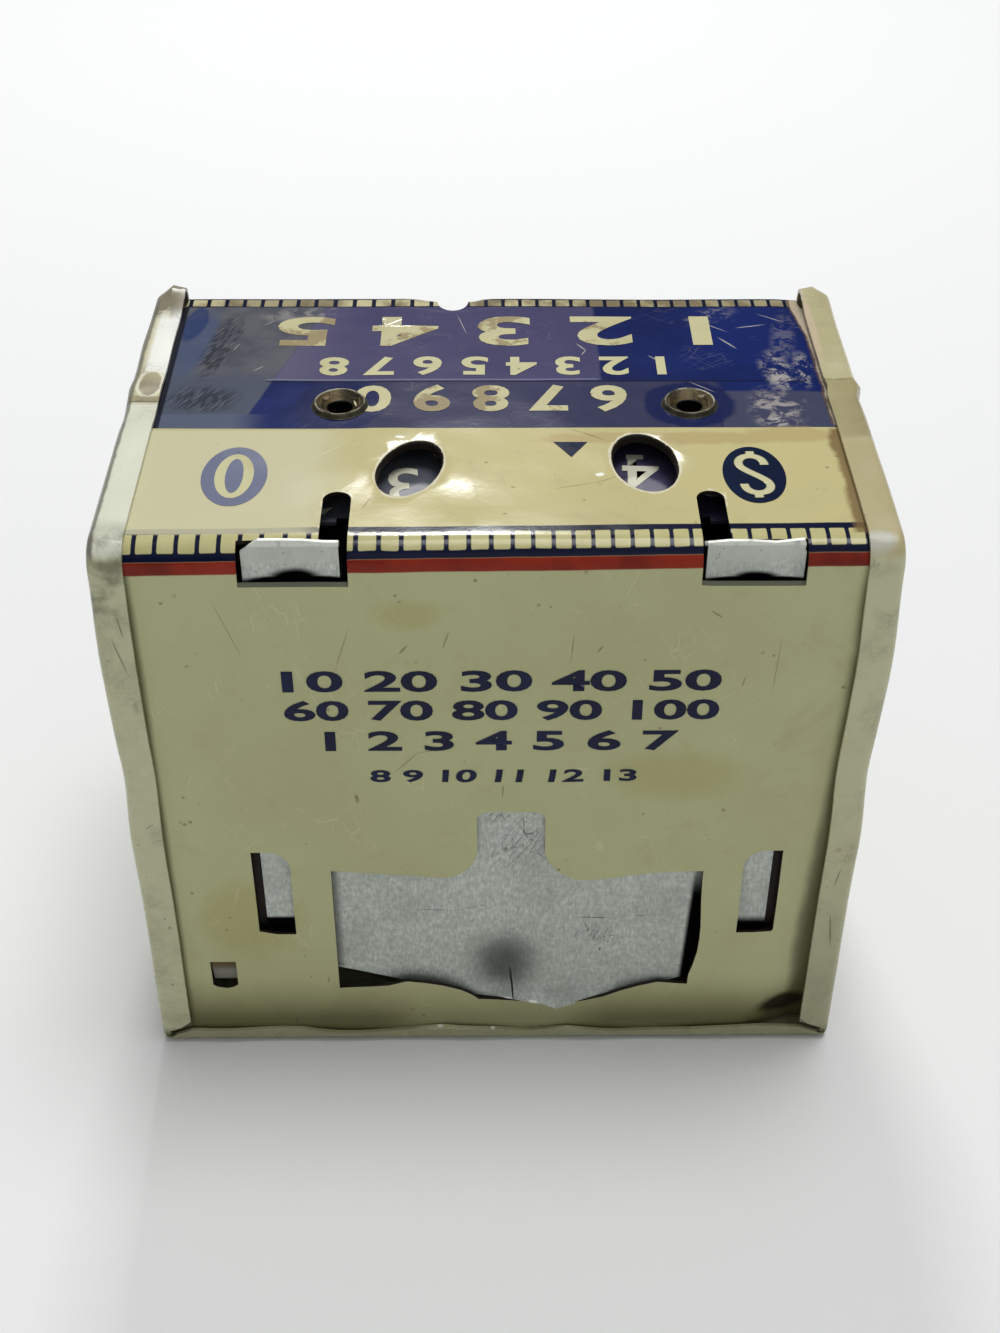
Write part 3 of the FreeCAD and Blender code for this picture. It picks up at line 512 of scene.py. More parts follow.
def window_wear_and_highlight(r, top):
    """Thin irregular worn ring round the windows and the fin slots, pale as bare edges and as a painted
    highlight.
    """
    thick = r.times(r.step(r.rag(), 0.36, 0.62), 0.055)
    rings = []
    for place, lean, shift, squeeze in WINDOWS:
        middle = (place[0] + shift[0], place[1] + shift[1])
        size = ((WINDOW_HALF_WIDTH + SHEET) * (1 - squeeze[0]),
                (WINDOW_HALF_LENGTH + SHEET) * (1 - squeeze[1]))
        distance = r.reach(middle, size, lean * 0.92)
        rings.append(r.step(r.take(distance, thick), 1.0, 0.98))
    slots = r.any(r.all(r.band(r.x, 13.65, 16.75, 0.08), r.step(r.y, 14.9, 15.1)),
                  r.all(r.band(r.x, -22.05, -18.95, 0.08), r.step(r.y, 14.9, 15.1)))
    frayed = r.all(slots, r.step(r.noise(1.4, 5.0), 0.52, 0.62))
    return r.all(top, r.any(*rings, frayed))


def printed_tin():
    """Printed cover: navy panel, bands of squares, red line and worn cream ground."""
    r = Recipe("printed_tin")
    over_ridge = bend_run(r, r.take(r.y, BACK - RIDGE_BEND), RIDGE_BEND)
    run = r.take(over_ridge, r.times(r.x, 0.012))
    ahead = bend_run(r, r.take(FRONT + TIGHT_BEND, r.y), TIGHT_BEND)
    back_half = r.step(r.y, 15.0, 16.0)
    front_half = r.step(r.y, -16.0, -17.0)
    top = r.all(r.step(over_ridge, 0.2, -0.2), r.step(ahead, 0.3, 0.0))
    back = r.all(r.step(over_ridge, 3.2, 3.9), back_half)
    front = r.all(r.step(ahead, 4.6, 4.8), front_half)
    worn_cream(r, r.mix(r.all(r.step(over_ridge, 1.0, 3.4), back_half), CREAM_TOP, CREAM_BACK_SHADE_TINT))
    back_wear_and_shade(r, back)
    field = navy_field(r, top)
    ink = r.mix(r.noise(9.0, 4.0), (4, 7, 22), (10, 20, 56))
    edge = r.wavy(run, 0.22, 7.0, 2.0)
    r.coat(r.all(r.band(edge, -1.25, 2.62, 0.07), back_half), ink)
    cream = r.mix(r.noise(2.5, 4.0), (206, 200, 150), (176, 168, 112))
    r.coat(r.all(squares_of(r, run, -0.38, 1.84, RIDGE_SQUARES), back_half), cream)
    red = r.mix(r.step(r.noise(11.0, 4.0), 0.4, 0.7), RED, (108, 26, 10))
    r.coat(r.all(r.band(edge, 2.62, 3.97, 0.08), back_half), red)
    r.coat(r.all(r.band(ahead, -1.9, 2.2, 0.05), front_half), ink)
    dull = r.mix(r.step(r.noise(5.0, 4.0), 0.42, 0.6), (196, 188, 148), (128, 116, 88))
    brownish = r.any(r.band(r.x, 17.0, 30.0, 1.0), r.step(r.x, -18.0, -20.0))
    brown = r.mix(r.noise(3.0), (110, 96, 74), (150, 138, 108))
    dull = r.mix(r.times(brownish, 0.6), dull, brown)
    r.coat(r.all(squares_of(r, ahead, -1.7, -0.12, FRONT_SQUARES), front_half), dull)
    panel = r.all(front, r.band(r.x, -30.5, 30.5), r.band(r.z, 10.0, 58.5))
    frame_inside = r.all(r.band(r.x, -31.4, 31.4), r.band(r.z, 9.1, 59.4))
    rule = r.all(front, r.band(r.x, -32.4, 32.4), r.band(r.z, 8.1, 60.4), r.flip(frame_inside))
    r.coat(panel, r.mix(r.noise(18.0, 4.0), NAVY, (24, 38, 98)))
    r.coat(rule, red)
    top_wear_and_sheen(r, top)
    # Pale worn edges round the windows and fin slots, with painted highlight
    r.coat(window_wear_and_highlight(r, top), r.mix(r.noise(1.2), (236, 230, 206), (196, 186, 150)))
    bare = r.mark("bare")
    inner = r.step(bare, 0.7, 0.8)
    wall = r.band(bare, 0.4, 0.6, 0.05)
    r.coat(inner, r.mix(r.noise(2.0, 4.0), (70, 66, 58), (110, 106, 96)))
    r.coat(wall, (40, 34, 28))
    lip = r.all(wall, r.band(r.z, 62.0, 65.2, 0.2), r.step(r.y, 23.9, 24.1))
    r.coat(lip, (105, 108, 90))
    tongue = r.all(wall, r.band(r.x, TONGUE_X - 1.3, TONGUE_X + 1.3), r.band(r.z, 8.0, 12.9))
    tongue_color = r.mix(r.step(r.z, 10.6, 12.2), (132, 132, 118), (96, 78, 48))
    # Painted shade: the tongue goes dark at its lower end, in the hole under it
    r.coat(tongue, r.mix(r.step(r.z, 9.4, 8.8), tongue_color, (36, 32, 26)))
    gloss = r.blend(r.step(r.noise(20.0, 3.0), 0.35, 0.7), 0.12, 0.17)
    metal = r.step(bare, 0.3, 0.4)
    roughness = r.blend(metal, r.blend(field, gloss, 0.16), 0.5)
    crinkle_place, crinkle_lines = crinkles(r)
    height = r.all(crinkle_place, field, r.step(crinkle_lines, 0.0, 0.3))
    return r.finish(roughness, r.bump(height, 0.006, sheet_relief(r)), r.times(inner, 0.5), specular=0.2)


# Scratches of the casing's back flanges: start, end, width
FLANGE_MARKS = (((36.6, 58.0), (35.6, 54.0), 0.08), ((36.2, 33.4), (35.4, 34.0), 0.06),
                ((-36.1, 20.2), (-36.6, 15.6), 0.1), ((-36.4, 27.0), (-36.0, 24.6), 0.08),
                ((35.8, 60.6), (35.5, 58.4), 0.08))


def cream_tin():
    """Casing: greyed cream enamel, tinted for shade on the upright faces, with residue, rubbed edges and
    painted gloss streaks, glare and glints.
    """
    r = Recipe("cream_tin")
    top = r.step(r.z, 66.6, 67.6)
    # Upright faces take a darker, greener copy of the top's cream: a painted tint for their shade
    worn_cream(r, r.mix(top, (196, 196, 158), (206, 202, 170)))
    cloud = r.noise(6.0, 5.0, 0.65)
    r.coat(r.step(cloud, 0.46, 0.66), (150, 146, 116), 0.35)
    left = r.all(top, r.step(r.x, 33.0, 33.5))
    right = r.all(top, r.step(r.x, -33.0, -33.5))
    wavy_y = r.add(r.y, r.times(r.take(cloud, 0.5), 3.0))
    ragged = r.add(r.add(r.y, r.times(r.take(cloud, 0.5), 9.0)), r.times(r.take(r.rag(), 0.5), 8.0))
    inner_edge = r.times(r.step(r.x, 36.2, 34.8), 4.5)
    residue = r.all(left, r.step(r.take(ragged, inner_edge), -19.0, -20.0))
    r.coat(residue, r.mix(r.noise(1.8, 5.0), (92, 82, 64), (140, 130, 108)), 0.85)
    # Painted sheen: a whitish gloss streak on the left top flange
    pale = r.all(left, r.band(wavy_y, -19.5, -6.2, 1.2), r.step(r.x, 37.2, 36.6))
    r.coat(pale, (240, 240, 232), 0.85)
    halo = r.all(left, r.spot((35.9, -4.4), (1.4, 3.0), 0, 0.2, 0.6))
    r.coat(halo, (232, 228, 204), 0.85)
    patch = r.any(r.spot((35.9, -4.4), (1.12, 2.6), 0, 0.25, 0.6), r.band(wavy_y, -1.9, -0.8, 0.2))
    patch = r.all(left, patch)
    r.coat(patch, r.mix(r.step(cloud, 0.42, 0.6), (112, 98, 70), (160, 148, 110)), 0.85)
    outline = r.band(r.wavy(r.y, 0.4, 2.0), -1.0, -0.75, 0.12)
    r.coat(r.all(left, outline), (70, 58, 40), 0.8)
    # Painted sheen: whitish back part of the left top flange
    r.coat(r.all(left, r.step(r.y, -0.7, 0.0)), (225, 228, 210), 0.75)
    r.coat(r.all(left, r.step(r.wavy(r.x, 0.5, 2.0), 37.2, 37.5)), (100, 98, 85), 0.8)
    fold = r.all(right, r.band(wavy_y, -5.4, -5.0, 0.1))
    brown = r.all(right, r.band(wavy_y, -5.2, 6.2, 0.6))
    r.coat(brown, r.mix(cloud, (112, 98, 66), (146, 132, 96)), 0.8)
    r.coat(fold, (60, 52, 36), 0.8)
    r.coat(r.all(right, r.step(wavy_y, 4.5, 7.5)), (178, 162, 122), 0.75)
    glare = r.all(right, r.spot((-35.3, 24.1), (1.6, 1.0), 0, 0.9, 0.3))
    r.coat(glare, (214, 224, 236), 0.8)
    tan = r.all(right, r.step(r.noise(7.0, 4.0), 0.2, 0.5))
    r.coat(tan, (176, 166, 118), 0.6)
    drip = r.all(right, r.spot((-34.6, -16.0), (0.8, 7.0), 0, 0.5, 1.0))
    r.coat(drip, (208, 184, 160), 0.6)
    side_top = r.all(r.step(r.math("ABSOLUTE", r.x), 33.0, 33.5), r.band(r.z, 60.0, 69.0, 1.5),
                     r.step(r.noise(2.6, 5.0), 0.35, 0.65))
    r.coat(r.all(side_top, r.step(r.y, 20.0, 24.0), r.step(r.x, -30.0, 30.0)), (84, 82, 58), 0.7)
    low_right = r.all(r.step(r.x, -33.0, -34.0), r.step(r.z, 34.0, 8.0))
    r.coat(low_right, (128, 128, 98), 0.45)
    lip = r.step(r.z, 2.6, 1.8)
    r.coat(lip, r.mix(cloud, (116, 114, 82), (150, 148, 112)), 0.7)
    glints = r.any(r.spot((6.41, 2.45), (0.35, 0.12), 0, 0.5, 0, True),
                   r.spot((0.35, 2.1), (0.25, 0.16), 0, 0.5, 0, True),
                   r.spot((-2.4, 2.0), (0.25, 0.14), 0, 0.5, 0, True))
    r.coat(glints, (244, 244, 230), 0.8)
    mitre = r.any(r.line((33.9, 3.9), (37.4, 0.6), 0.2, True), r.line((-33.9, 3.9), (-37.4, 0.6), 0.09, True))
    r.coat(r.all(mitre, r.step(r.y, 25.0, 25.2)), (30, 26, 20), 0.9)
    r.coat(r.lines(FLANGE_MARKS, upright=True), (70, 62, 44), 0.6)
    rubbed = r.step(r.noise(1.4, 4.0, 0.7), 0.66, 0.74)
    r.coat(rubbed, (110, 100, 74), 0.4)
    fine = r.any(r.hairlines(8.0, 1.4, (0.4, 0.9, 0.2), 0.014, 0.55),
                 r.hairlines(8.0, 1.4, (1.2, 0.3, 1.4), 0.014, 0.55))
    r.coat(fine, (120, 112, 86), 0.35)
    roughness = r.blend(r.step(r.noise(16.0, 3.0), 0.35, 0.7), 0.2, 0.4)
    return r.finish(roughness, sheet_relief(r, 1.2), specular=0.5)


# Dark scratches of the door: start, end, width
DOOR_MARKS = (((9.6, 20.2), (4.2, 20.0), 0.05), ((4.2, 20.0), (0.6, 21.0), 0.04),
              ((-8.6, 18.9), (-12.6, 18.7), 0.08), ((-9.6, 18.0), (-10.6, 15.8), 0.07),
              ((-11.4, 14.2), (-11.5, 13.5), 0.1), ((-15.0, 19.0), (-17.0, 19.0), 0.05),
              ((-3.6, 30.0), (-5.2, 27.6), 0.05), ((-2.4, 32.6), (-3.4, 30.6), 0.06))


def bare_tin():
    """Mottled grey tinplate with a fine upright grain, pricks and a dark smudge on the door, painted glints,
    and painted shade in gaps, slots and under the openings' edges.
    """
    r = Recipe("bare_tin")
    grain = r.noise(1.0, 4.0, 0.6, r.stretched((0.25, 0.25, 0.9)))
    broad = r.noise(9.0, 4.0, 0.6)
    r.color = r.mix(r.step(grain, 0.3, 0.7), (182, 187, 178), (212, 217, 208))
    r.coat(r.step(broad, 0.42, 0.72), (168, 173, 162), 0.5)
    flecks = r.step(r.cells(1.0, "F1", r.stretched((0.4, 0.4, 0.8), (0, 0.25, 0))), 0.2, 0.1)
    r.coat(r.all(flecks, r.step(r.noise(4.0, 2.0), 0.48, 0.6)), (120, 124, 118), 0.4)
    pricks = r.any(r.hairlines(5.0, 0.5, (0, 0.95, 0), 0.035, 0.5),
                   r.hairlines(4.0, 0.6, (0, 1.25, 0), 0.03, 0.52))
    neck = r.any(r.spot((-1.9, 32.0), (5.0, 5.5), 0, 1.0, 0.8, True),
                 r.spot((-11.0, 18.0), (5.0, 3.0), 0, 1.0, 0.9, True))
    r.coat(r.all(pricks, neck), (70, 72, 70), 0.65)
    mottle = r.step(r.noise(0.55, 3.0, 0.7), 0.36, 0.66)
    r.coat(mottle, (142, 148, 146), 0.4)
    broken = r.step(r.noise(0.9, 4.0, 0.7), 0.42, 0.56)
    r.coat(r.all(r.lines(DOOR_MARKS, upright=True), broken), (60, 62, 60), 0.8)
    smudge = r.spot((-0.9, 11.8), (3.0, 3.8), 0, 1.5, 0.6, True)
    r.coat(smudge, (48, 50, 48), 0.8)
    # The first line is a crack; the second is painted shade, the black slit between the lip and the door
    crack = r.lines((((-1.5, 11.0), (-1.95, 6.3), 0.12), ((2.4, 6.6), (-1.8, 6.5), 0.08)), upright=True)
    r.coat(crack, (6, 6, 6), 0.95)
    glints = r.any(r.spot((-1.34, 6.5), (0.5, 0.3), 0, 0.5, 0, True),
                   r.spot((-4.16, 6.5), (0.5, 0.3), 0, 0.5, 0, True))
    r.coat(glints, (250, 250, 244), 0.9)
    # Painted shade: black gap along the door's right edge, beside the opening
    gap = r.blend(r.step(r.z, 22.0, 26.0), 1.0, 0.5)
    gap_edge = r.add(r.x, r.times(r.take(r.z, 8.0), 0.045))
    gap = r.all(r.step(gap_edge, -20.1, -20.7), r.step(r.z, 27.0, 26.5), gap, r.step(r.x, -23.0, -22.8))
    r.coat(gap, (8, 7, 6))
    # Painted shade: a darker band on the door along the opening's left edge
    left = r.all(r.step(r.x, 16.5, 17.3), r.step(r.z, 28.0, 27.0), r.step(r.x, 20.6, 20.2))
    r.coat(left, (84, 84, 78), 0.55)
    # Painted shade: black at the lower ends of the guide slots
    guides = r.any(r.all(r.step(r.x, 20.4, 20.6), r.step(r.z, 19.4, 18.9)),
                   r.all(r.step(r.x, -24.6, -24.9), r.step(r.z, 19.2, 17.9)))
    r.coat(guides, (8, 7, 6))
    # Painted shade: black arches where the arms pass under the openings' lower lips
    arch = r.any(r.spot((18.9, 64.0), (2.4, 1.35), 0, 0.6, 0.2, True),
                 r.spot((18.4, 63.9), (5.4, 0.72), 0, 0.4, 0.2, True),
                 r.spot((-24.3, 64.0), (2.2, 0.9), 0, 0.6, 0.2, True),
                 r.spot((-24.3, 63.9), (5.2, 0.5), 0, 0.4, 0.2, True))
    r.coat(arch, (6, 6, 6))
    tabs = r.step(r.z, 65.6, 66.4)
    r.coat(tabs, r.mix(r.noise(2.4, 5.0), (176, 180, 170), (206, 210, 200)), 0.8)
    r.coat(r.all(tabs, r.specks(0.6, 0.2, 0.52)), (84, 84, 74), 0.5)
    # Painted shade: the fins near black, as the shade inside the slots
    left_side = r.all(r.step(r.x, 14.7, 14.64), r.step(r.x, 12.0, 13.0))
    right_side = r.all(r.step(r.x, -19.6, -19.5), r.step(r.x, -16.0, -17.0))
    fins = r.all(r.any(r.step(r.y, 23.95, 23.9), left_side, right_side), r.step(r.z, 58.0, 60.0))
    r.coat(fins, (12, 12, 16))
    # Worn bright top edge of the arms, with painted highlight
    worn_top_and_highlight = r.all(r.step(r.z, 67.7, 68.0), r.step(r.y, 23.95, 24.0), r.step(r.noise(1.4, 4.0), 0.36, 0.46))
    r.coat(worn_top_and_highlight, (232, 232, 222), 0.7)
    dark = r.any(gap, guides, arch, fins)
    roughness = r.blend(dark, r.blend(r.step(broad, 0.3, 0.7), 0.42, 0.58), 0.9)
    metallic = r.blend(dark, 0.45, 1.0)
    return r.finish(roughness, r.bump(grain, 0.012, r.bump(broad, 0.15)), metallic, 0.3)


def dial_blue():
    """Dusty grey dimes dial and dark violet dollars dial."""
    r = Recipe("dial_blue")
    cloud = r.step(r.noise(6.0, 5.0, 0.65), 0.40, 0.66)
    dimes = r.mix(cloud, (86, 90, 100), (112, 114, 120))
    dollars = r.mix(cloud, (62, 57, 86), (86, 80, 104))
    r.color = r.mix(r.step(r.x, -4.0, 3.0), dollars, dimes)
    r.coat(r.specks(1.0, 0.2, 0.58), (150, 152, 160), 0.4)
    return r.finish(0.4, r.bump(r.noise(3.0), 0.02))


def dark_brass():
    """Tarnished eyelets: dark rim, a thin rubbed edge that carries a painted highlight, golden brown cone and
    a bore painted black for its shade.
    """
    r = Recipe("dark_brass")
    patches = r.noise(1.6, 5.0, 0.7)
    distance = r.math("MINIMUM", r.reach(DIMES_AXIS), r.reach(DOLLARS_AXIS))
    r.color = r.mix(r.step(patches, 0.4, 0.64), (50, 48, 34), (82, 78, 56))
    cone = r.mix(r.step(patches, 0.35, 0.65), (44, 36, 20), (92, 76, 40))
    r.coat(r.step(r.wavy(distance, 0.3, 1.4), 2.45, 2.25), cone)
    # Rubbed rim edge, lighter also as a painted highlight
    edge = r.band(r.wavy(distance, 0.3, 1.4), 2.42, 2.6, 0.06)
    r.coat(r.all(edge, r.step(r.noise(1.1, 5.0), 0.40, 0.52)), (142, 138, 116), 0.8)
    # Painted shade: the bore near black
    r.coat(r.step(distance, 1.42, 1.34), (14, 11, 8))
    return r.finish(r.blend(patches, 0.32, 0.6), r.bump(patches, 0.1), 0.4, 0.4)


def spring_steel():
    """Plain dark spring steel."""
    r = Recipe("spring_steel")
    shade = r.noise(3.0)
    r.color = r.mix(shade, (120, 120, 124), (160, 160, 162))
    return r.finish(0.35, r.bump(shade, 0.02), 0.9)


def ink(name, color, light, stain=None, stain_gate=0.56):
    """Printed figures: the ink with fading, pinholes and stains."""
    r = Recipe(name)
    r.color = r.mix(r.step(r.noise(8.0, 4.0), 0.4, 0.75), color, light)
    if stain:
        r.coat(r.step(r.noise(5.5, 6.0, 0.66), stain_gate, stain_gate + 0.05), stain, 0.75)
    r.coat(r.specks(1.1, 0.16), (60, 52, 40), 0.5)
    return r.finish(0.15, sheet_relief(r), specular=0.2)


FINISHES = {
    "printed_tin": printed_tin(),
    "cream_tin": cream_tin(),
    "bare_tin": bare_tin(),
    "dial_blue": dial_blue(),
    "dark_brass": dark_brass(),
    "spring_steel": spring_steel(),
}
NAVY_INK = ink("navy_ink", (14, 20, 50), (24, 32, 66))
BADGE_INK = ink("badge_ink", (6, 22, 50), (12, 32, 66))
FADED_INK = ink("faded_ink", (112, 117, 140), (128, 132, 152))
CREAM_INK = ink("cream_ink", (204, 200, 158), (190, 184, 140))
STAINED_INK = ink("stained_ink", (200, 194, 152), (184, 176, 136), (142, 124, 92), 0.53)
DIAL_INK = ink("dial_ink", (226, 224, 202), (212, 209, 184))


def dress(piece, material):
    """Give a piece one finish."""
    piece.data.materials.clear()
    piece.data.materials.append(material)


SLOT_OF = {part["node"]: part["material_slot"] for part in frame["record"]["subparts"]}


def smooth(value, low, high):
    """0 to 1 between low and high, smoothly; works downwards too."""
    amount = min(max((value - low) / (high - low), 0.0), 1.0)
    return amount * amount * (3 - 2 * amount)


def hill(value, center, width):
    """Bell curve."""
    return math.exp(-((value - center) / width) ** 2)


def ripple(p, size, seed):
    """Slow waviness of thin sheet, a vector of about 1 at most."""
    return Vector([noise.noise(p / size + Vector((seed + 17.0 * axis, 3.0, 5.0))) for axis in range(3)])


# Height of the bent edges along X, as pairs of place and rise in mm
LIP_RISE = ((-22.0, 0.45), (-20.4, 0.47), (-18.7, 1.05), (-14.9, 0.0), (-11.9, -1.4), (-8.9, -2.2),
            (-6.8, -2.4), (-1.7, -2.0), (2.0, -1.75), (2.7, -1.0), (4.3, 0.1), (5.5, 0.6), (7.5, 1.3),
            (10.0, 1.6), (12.1, 0.75), (13.5, 0.5), (17.5, 0.1))
DOOR_RISE = ((-22.0, 2.3), (-20.0, 1.5), (-18.4, 0.7), (-14.9, -0.2), (-12.5, -1.1), (-8.9, -1.6),
             (-6.8, -2.2), (-5.3, -1.4), (-1.7, -1.0), (2.35, -0.83), (5.5, -0.2), (10.3, 1.5), (16.4, 3.4),
             (18.0, 3.8))
RIM_RISE = ((-33.0, 0.0), (-25.0, 0.1), (-18.8, -0.4), (-13.4, -0.5), (-10.9, -0.1), (-7.7, 0.25),
            (-4.6, -0.45), (-3.0, -0.45), (0.1, 0.0), (3.3, 0.25), (6.1, 0.5), (8.6, 0.15), (11.1, -0.3),
            (14.9, -0.5), (19.0, -0.4), (22.1, 0.1), (33.0, 0.0))


def along(table, x):
    """Value at a place between the pairs of a table."""
    if x <= table[0][0]:
        return table[0][1]
    for (x0, value0), (x1, value1) in zip(table, table[1:]):
        if x <= x1:
            return value0 + (value1 - value0) * (x - x0) / (x1 - x0)
    return table[-1][1]


def folded_front(p):
    """Move that turns the wide front bend into a tight fold of the same sheet."""
    forward = FRONT + WIDE_BEND - p.y
    up = p.z - (TOP - WIDE_BEND)
    if forward <= 0 or up <= 0:
        return Vector()
    depth = WIDE_BEND - math.hypot(forward, up)
    leg = WIDE_BEND - TIGHT_BEND
    arc = TIGHT_BEND * math.pi / 2
    run = math.atan2(forward, up) / (math.pi / 2) * (2 * leg + arc)
    if run < leg:
        y = FRONT + WIDE_BEND - run
        z = TOP - depth
    elif run > leg + arc:
        y = FRONT + depth
        z = TOP - TIGHT_BEND - (run - leg - arc)
    else:
        turn = (run - leg) / TIGHT_BEND
        y = FRONT + TIGHT_BEND - (TIGHT_BEND - depth) * math.sin(turn)
        z = TOP - TIGHT_BEND + (TIGHT_BEND - depth) * math.cos(turn)
    return Vector((0, y - p.y, z - p.z)) * smooth(abs(p.x), 34.7, 34.4)


def squared_notch(p):
    """Move that squares, deepens and shifts the thumb notch of the front edge."""
    dx, dy = p.x - NOTCH_X, p.y - NOTCH_Y
    near = smooth(abs(dx), 4.5, 1.9) * smooth(p.y, -17.0, -21.9)
    near *= smooth(p.z, TOP - WIDE_BEND - 4.0, TOP - WIDE_BEND - 0.5)
    move = Vector((-NOTCH_SHIFT * near, NOTCH_DEEPER * near * smooth(p.y, -25.0, NOTCH_Y), 0))
    away = math.hypot(dx, dy)
    if dy > 0 and abs(away - NOTCH_RADIUS) < 0.12 and p.z > TOP - WIDE_BEND - 0.5:
        stretch = min(away / max(abs(dx), abs(dy)), 1.25) - 1
        move += Vector((dx * stretch, dy * stretch, 0))
    return move


def press_back(p):
    """Moves of the back panel: sunk sides, outlet shoulders, pried lip, guide slots and tongue hole."""
    move = Vector()
    on_back = smooth(p.y, 20.0, 24.0) * smooth(p.z, 66.0, 60.0)
    sunk_right = smooth(p.x, -30.6, -33.4) * (0.35 + 0.75 * smooth(p.z, 45.0, 4.0))
    sunk_corner = smooth(p.x, -27.0, -32.0) * smooth(p.z, 8.0, 2.5) * 1.1
    sunk_left = smooth(p.x, 32.0, 34.4) * 0.12
    move.y -= on_back * (sunk_right + sunk_corner + sunk_left)
    strip = on_back * smooth(p.z, 3.0, 8.4) * smooth(p.z, 12.0, 9.0)
    move.z += strip * along(LIP_RISE, p.x) * smooth(p.x, 19.5, 17.5) * smooth(p.x, -24.0, -22.0)
    move.y += strip * (0.5 * hill(p.x, 9.0, 5.0) + 0.30 * hill(p.x, -8.0, 8.0))
    right_edge = on_back * hill(p.x, -22.0, 1.2)
    move.x += right_edge * (0.65 * smooth(p.z, 14.0, 9.0) - 0.3 * hill(p.z, 17.0, 4.0))
    shoulder = on_back * smooth(p.z, 20.0, 25.0) * smooth(p.z, 34.0, 29.0)
    drop = 0.45 * hill(p.x, 5.5, 3.5) + 0.9 * hill(p.x, -9.5, 5.0) - 0.3 * hill(p.x, 17.5, 3.0)
    move.z -= shoulder * drop
    neck = on_back * smooth(abs(p.x + 1.9), 9.0, 5.0)
    move.x += neck * 0.36 * smooth(p.z, 24.0, 30.0) * smooth(p.z, 41.0, 38.0)
    move.z -= neck * 0.45 * smooth(p.z, 31.0, 35.0) * smooth(p.z, 41.0, 36.0)
    guide = smooth(p.x, 20.0, 20.9) * smooth(p.x, 26.0, 25.4)
    guide += smooth(p.x, -24.4, -25.3) * smooth(p.x, -30.4, -29.8)
    move.z -= on_back * guide * 0.6 * smooth(p.z, 12.0, 17.5) * smooth(p.z, 24.0, 18.5)
    across = abs(p.x - TONGUE_X)
    if across < 1.45 and p.y > BACK - SHEET - 0.05 and abs(p.z - TONGUE_LOW) < 0.3:
        move.z += 0.6 * (across / 1.4) ** 2
    return move


def press_ridge(p):
    """Moves of the two openings in the ridge: slanted lower lips and a wider right end."""
    near_left = smooth(p.x, 13.0, 13.9) * smooth(p.x, 25.4, 24.5)
    near_right = smooth(p.x, -30.6, -29.7) * smooth(p.x, -18.4, -19.3)
    at_ridge = smooth(p.y, 23.6, 24.4) * smooth(p.z, 60.5, 64.7) * smooth(p.z, 66.5, 64.8)
    outer = smooth(p.y, BACK - SHEET, BACK)
    move = Vector((0, 0, -(0.75 + 0.3 * outer) * at_ridge * (near_left + near_right)))
    right_end = smooth(p.x, -31.6, -29.7) * smooth(p.x, -26.0, -29.3)
    move.x += 0.6 * right_end * smooth(p.z, 62.5, 64.7) * smooth(p.y, 21.0, 23.4)
    return move


# Dents of the top panel: place, radius, height
DENTS = (((11.0, 4.6), 1.6, 0.14), ((3.6, 12.4), 1.5, 0.12), ((-9.6, 13.0), 1.7, -0.24),
         ((13.5, 12.9), 1.5, 0.12), ((-18.6, 8.2), 1.4, 0.2), ((3.0, 16.5), 2.4, -0.14),
         ((-26.0, 17.8), 2.0, 0.12))


def press_top(p):
    """Moves of the top panel: sunk right edge, leaning windows, dents and a low front right end."""
    move = Vector()
    on_top = smooth(p.z, 66.2, 67.2)
    move.z -= on_top * smooth(p.x, -32.6, -34.4) * smooth(p.y, 8.0, -6.0) * 0.15
    move.z -= on_top * 0.15 * smooth(p.x, 10.0, -25.0) * smooth(p.y, -20.0, -24.0)
    for place, lean, shift, squeeze in WINDOWS:
        dx, dy = p.x - place[0], p.y - place[1]
        near = on_top * smooth(math.hypot(dx, dy * 0.75), 6.5, 4.0)
        move.x += near * (lean * dy + shift[0] - squeeze[0] * dx)
        move.y += near * (shift[1] - squeeze[1] * dy)
    for place, radius, height in DENTS:
        away = math.hypot(p.x - place[0], p.y - place[1])
        move.z += on_top * height * hill(away, 0.0, radius)
    return move


def press_cover(p):
    """Move of a point of the cover, in mm."""
    move = ripple(p, 11.0, 2.0) * 0.06 + ripple(p, 4.5, 40.0) * 0.012
    return move + folded_front(p) + squared_notch(p) + press_back(p) + press_ridge(p) + press_top(p)


def press_casing(p):
    """Move of a point of the casing, in mm: bent flanges, lifted front corners and a wavy base rim."""
    move = ripple(p, 12.0, 9.0) * 0.07 + ripple(p, 4.0, 61.0) * 0.02
    move.z *= smooth(p.z, 0.0, 2.0)
    side = 1 if p.x > 0 else -1
    at_side = smooth(abs(p.x), 33.0, 36.0)
    on_back = smooth(p.y, 23.0, 25.0)
    bow = 0.3 * hill(p.z, 55.0, 7.0) - 0.25 * hill(p.z, 40.0, 4.0) + 0.1 * hill(p.z, 31.0, 4.0)
    move.x += side * at_side * on_back * bow
    on_top = smooth(p.z, 65.5, 67.8)
    corner = smooth(p.y, -19.0, -24.5) * on_top * at_side
    raised = 1.8 if side > 0 else 1.3
    move.z += raised * corner * smooth(abs(p.x), 37.8, 34.8) + 0.25 * corner
    move.y -= 0.3 * corner
    flange = on_top * at_side
    if side > 0:
        bow = 0.15 * hill(p.y, -3.5, 1.0) - 0.15 * hill(p.y, 1.5, 2.0) + 0.1 * hill(p.y, -15.0, 5.0)
        move.x += flange * bow
        move.z += flange * (0.18 * hill(p.y, -4.0, 2.2) + 0.12 * hill(p.y, -13.0, 3.0))
    else:
        move.x -= flange * (0.3 * hill(p.y, -4.0, 1.2) - 0.3 * hill(p.y, -1.6, 1.4))
        move.z += flange * (0.2 * hill(p.y, -3.5, 1.6) - 0.1 * hill(p.y, 1.0, 2.0))
    rim = on_back * smooth(p.z, 0.6, 1.6) * smooth(p.z, 6.0, 4.0) * smooth(abs(p.x), 34.0, 31.0)
    move.z += rim * along(RIM_RISE, p.x)
    move.y += rim * 0.14 * math.sin(p.x / 2.2)
    return move


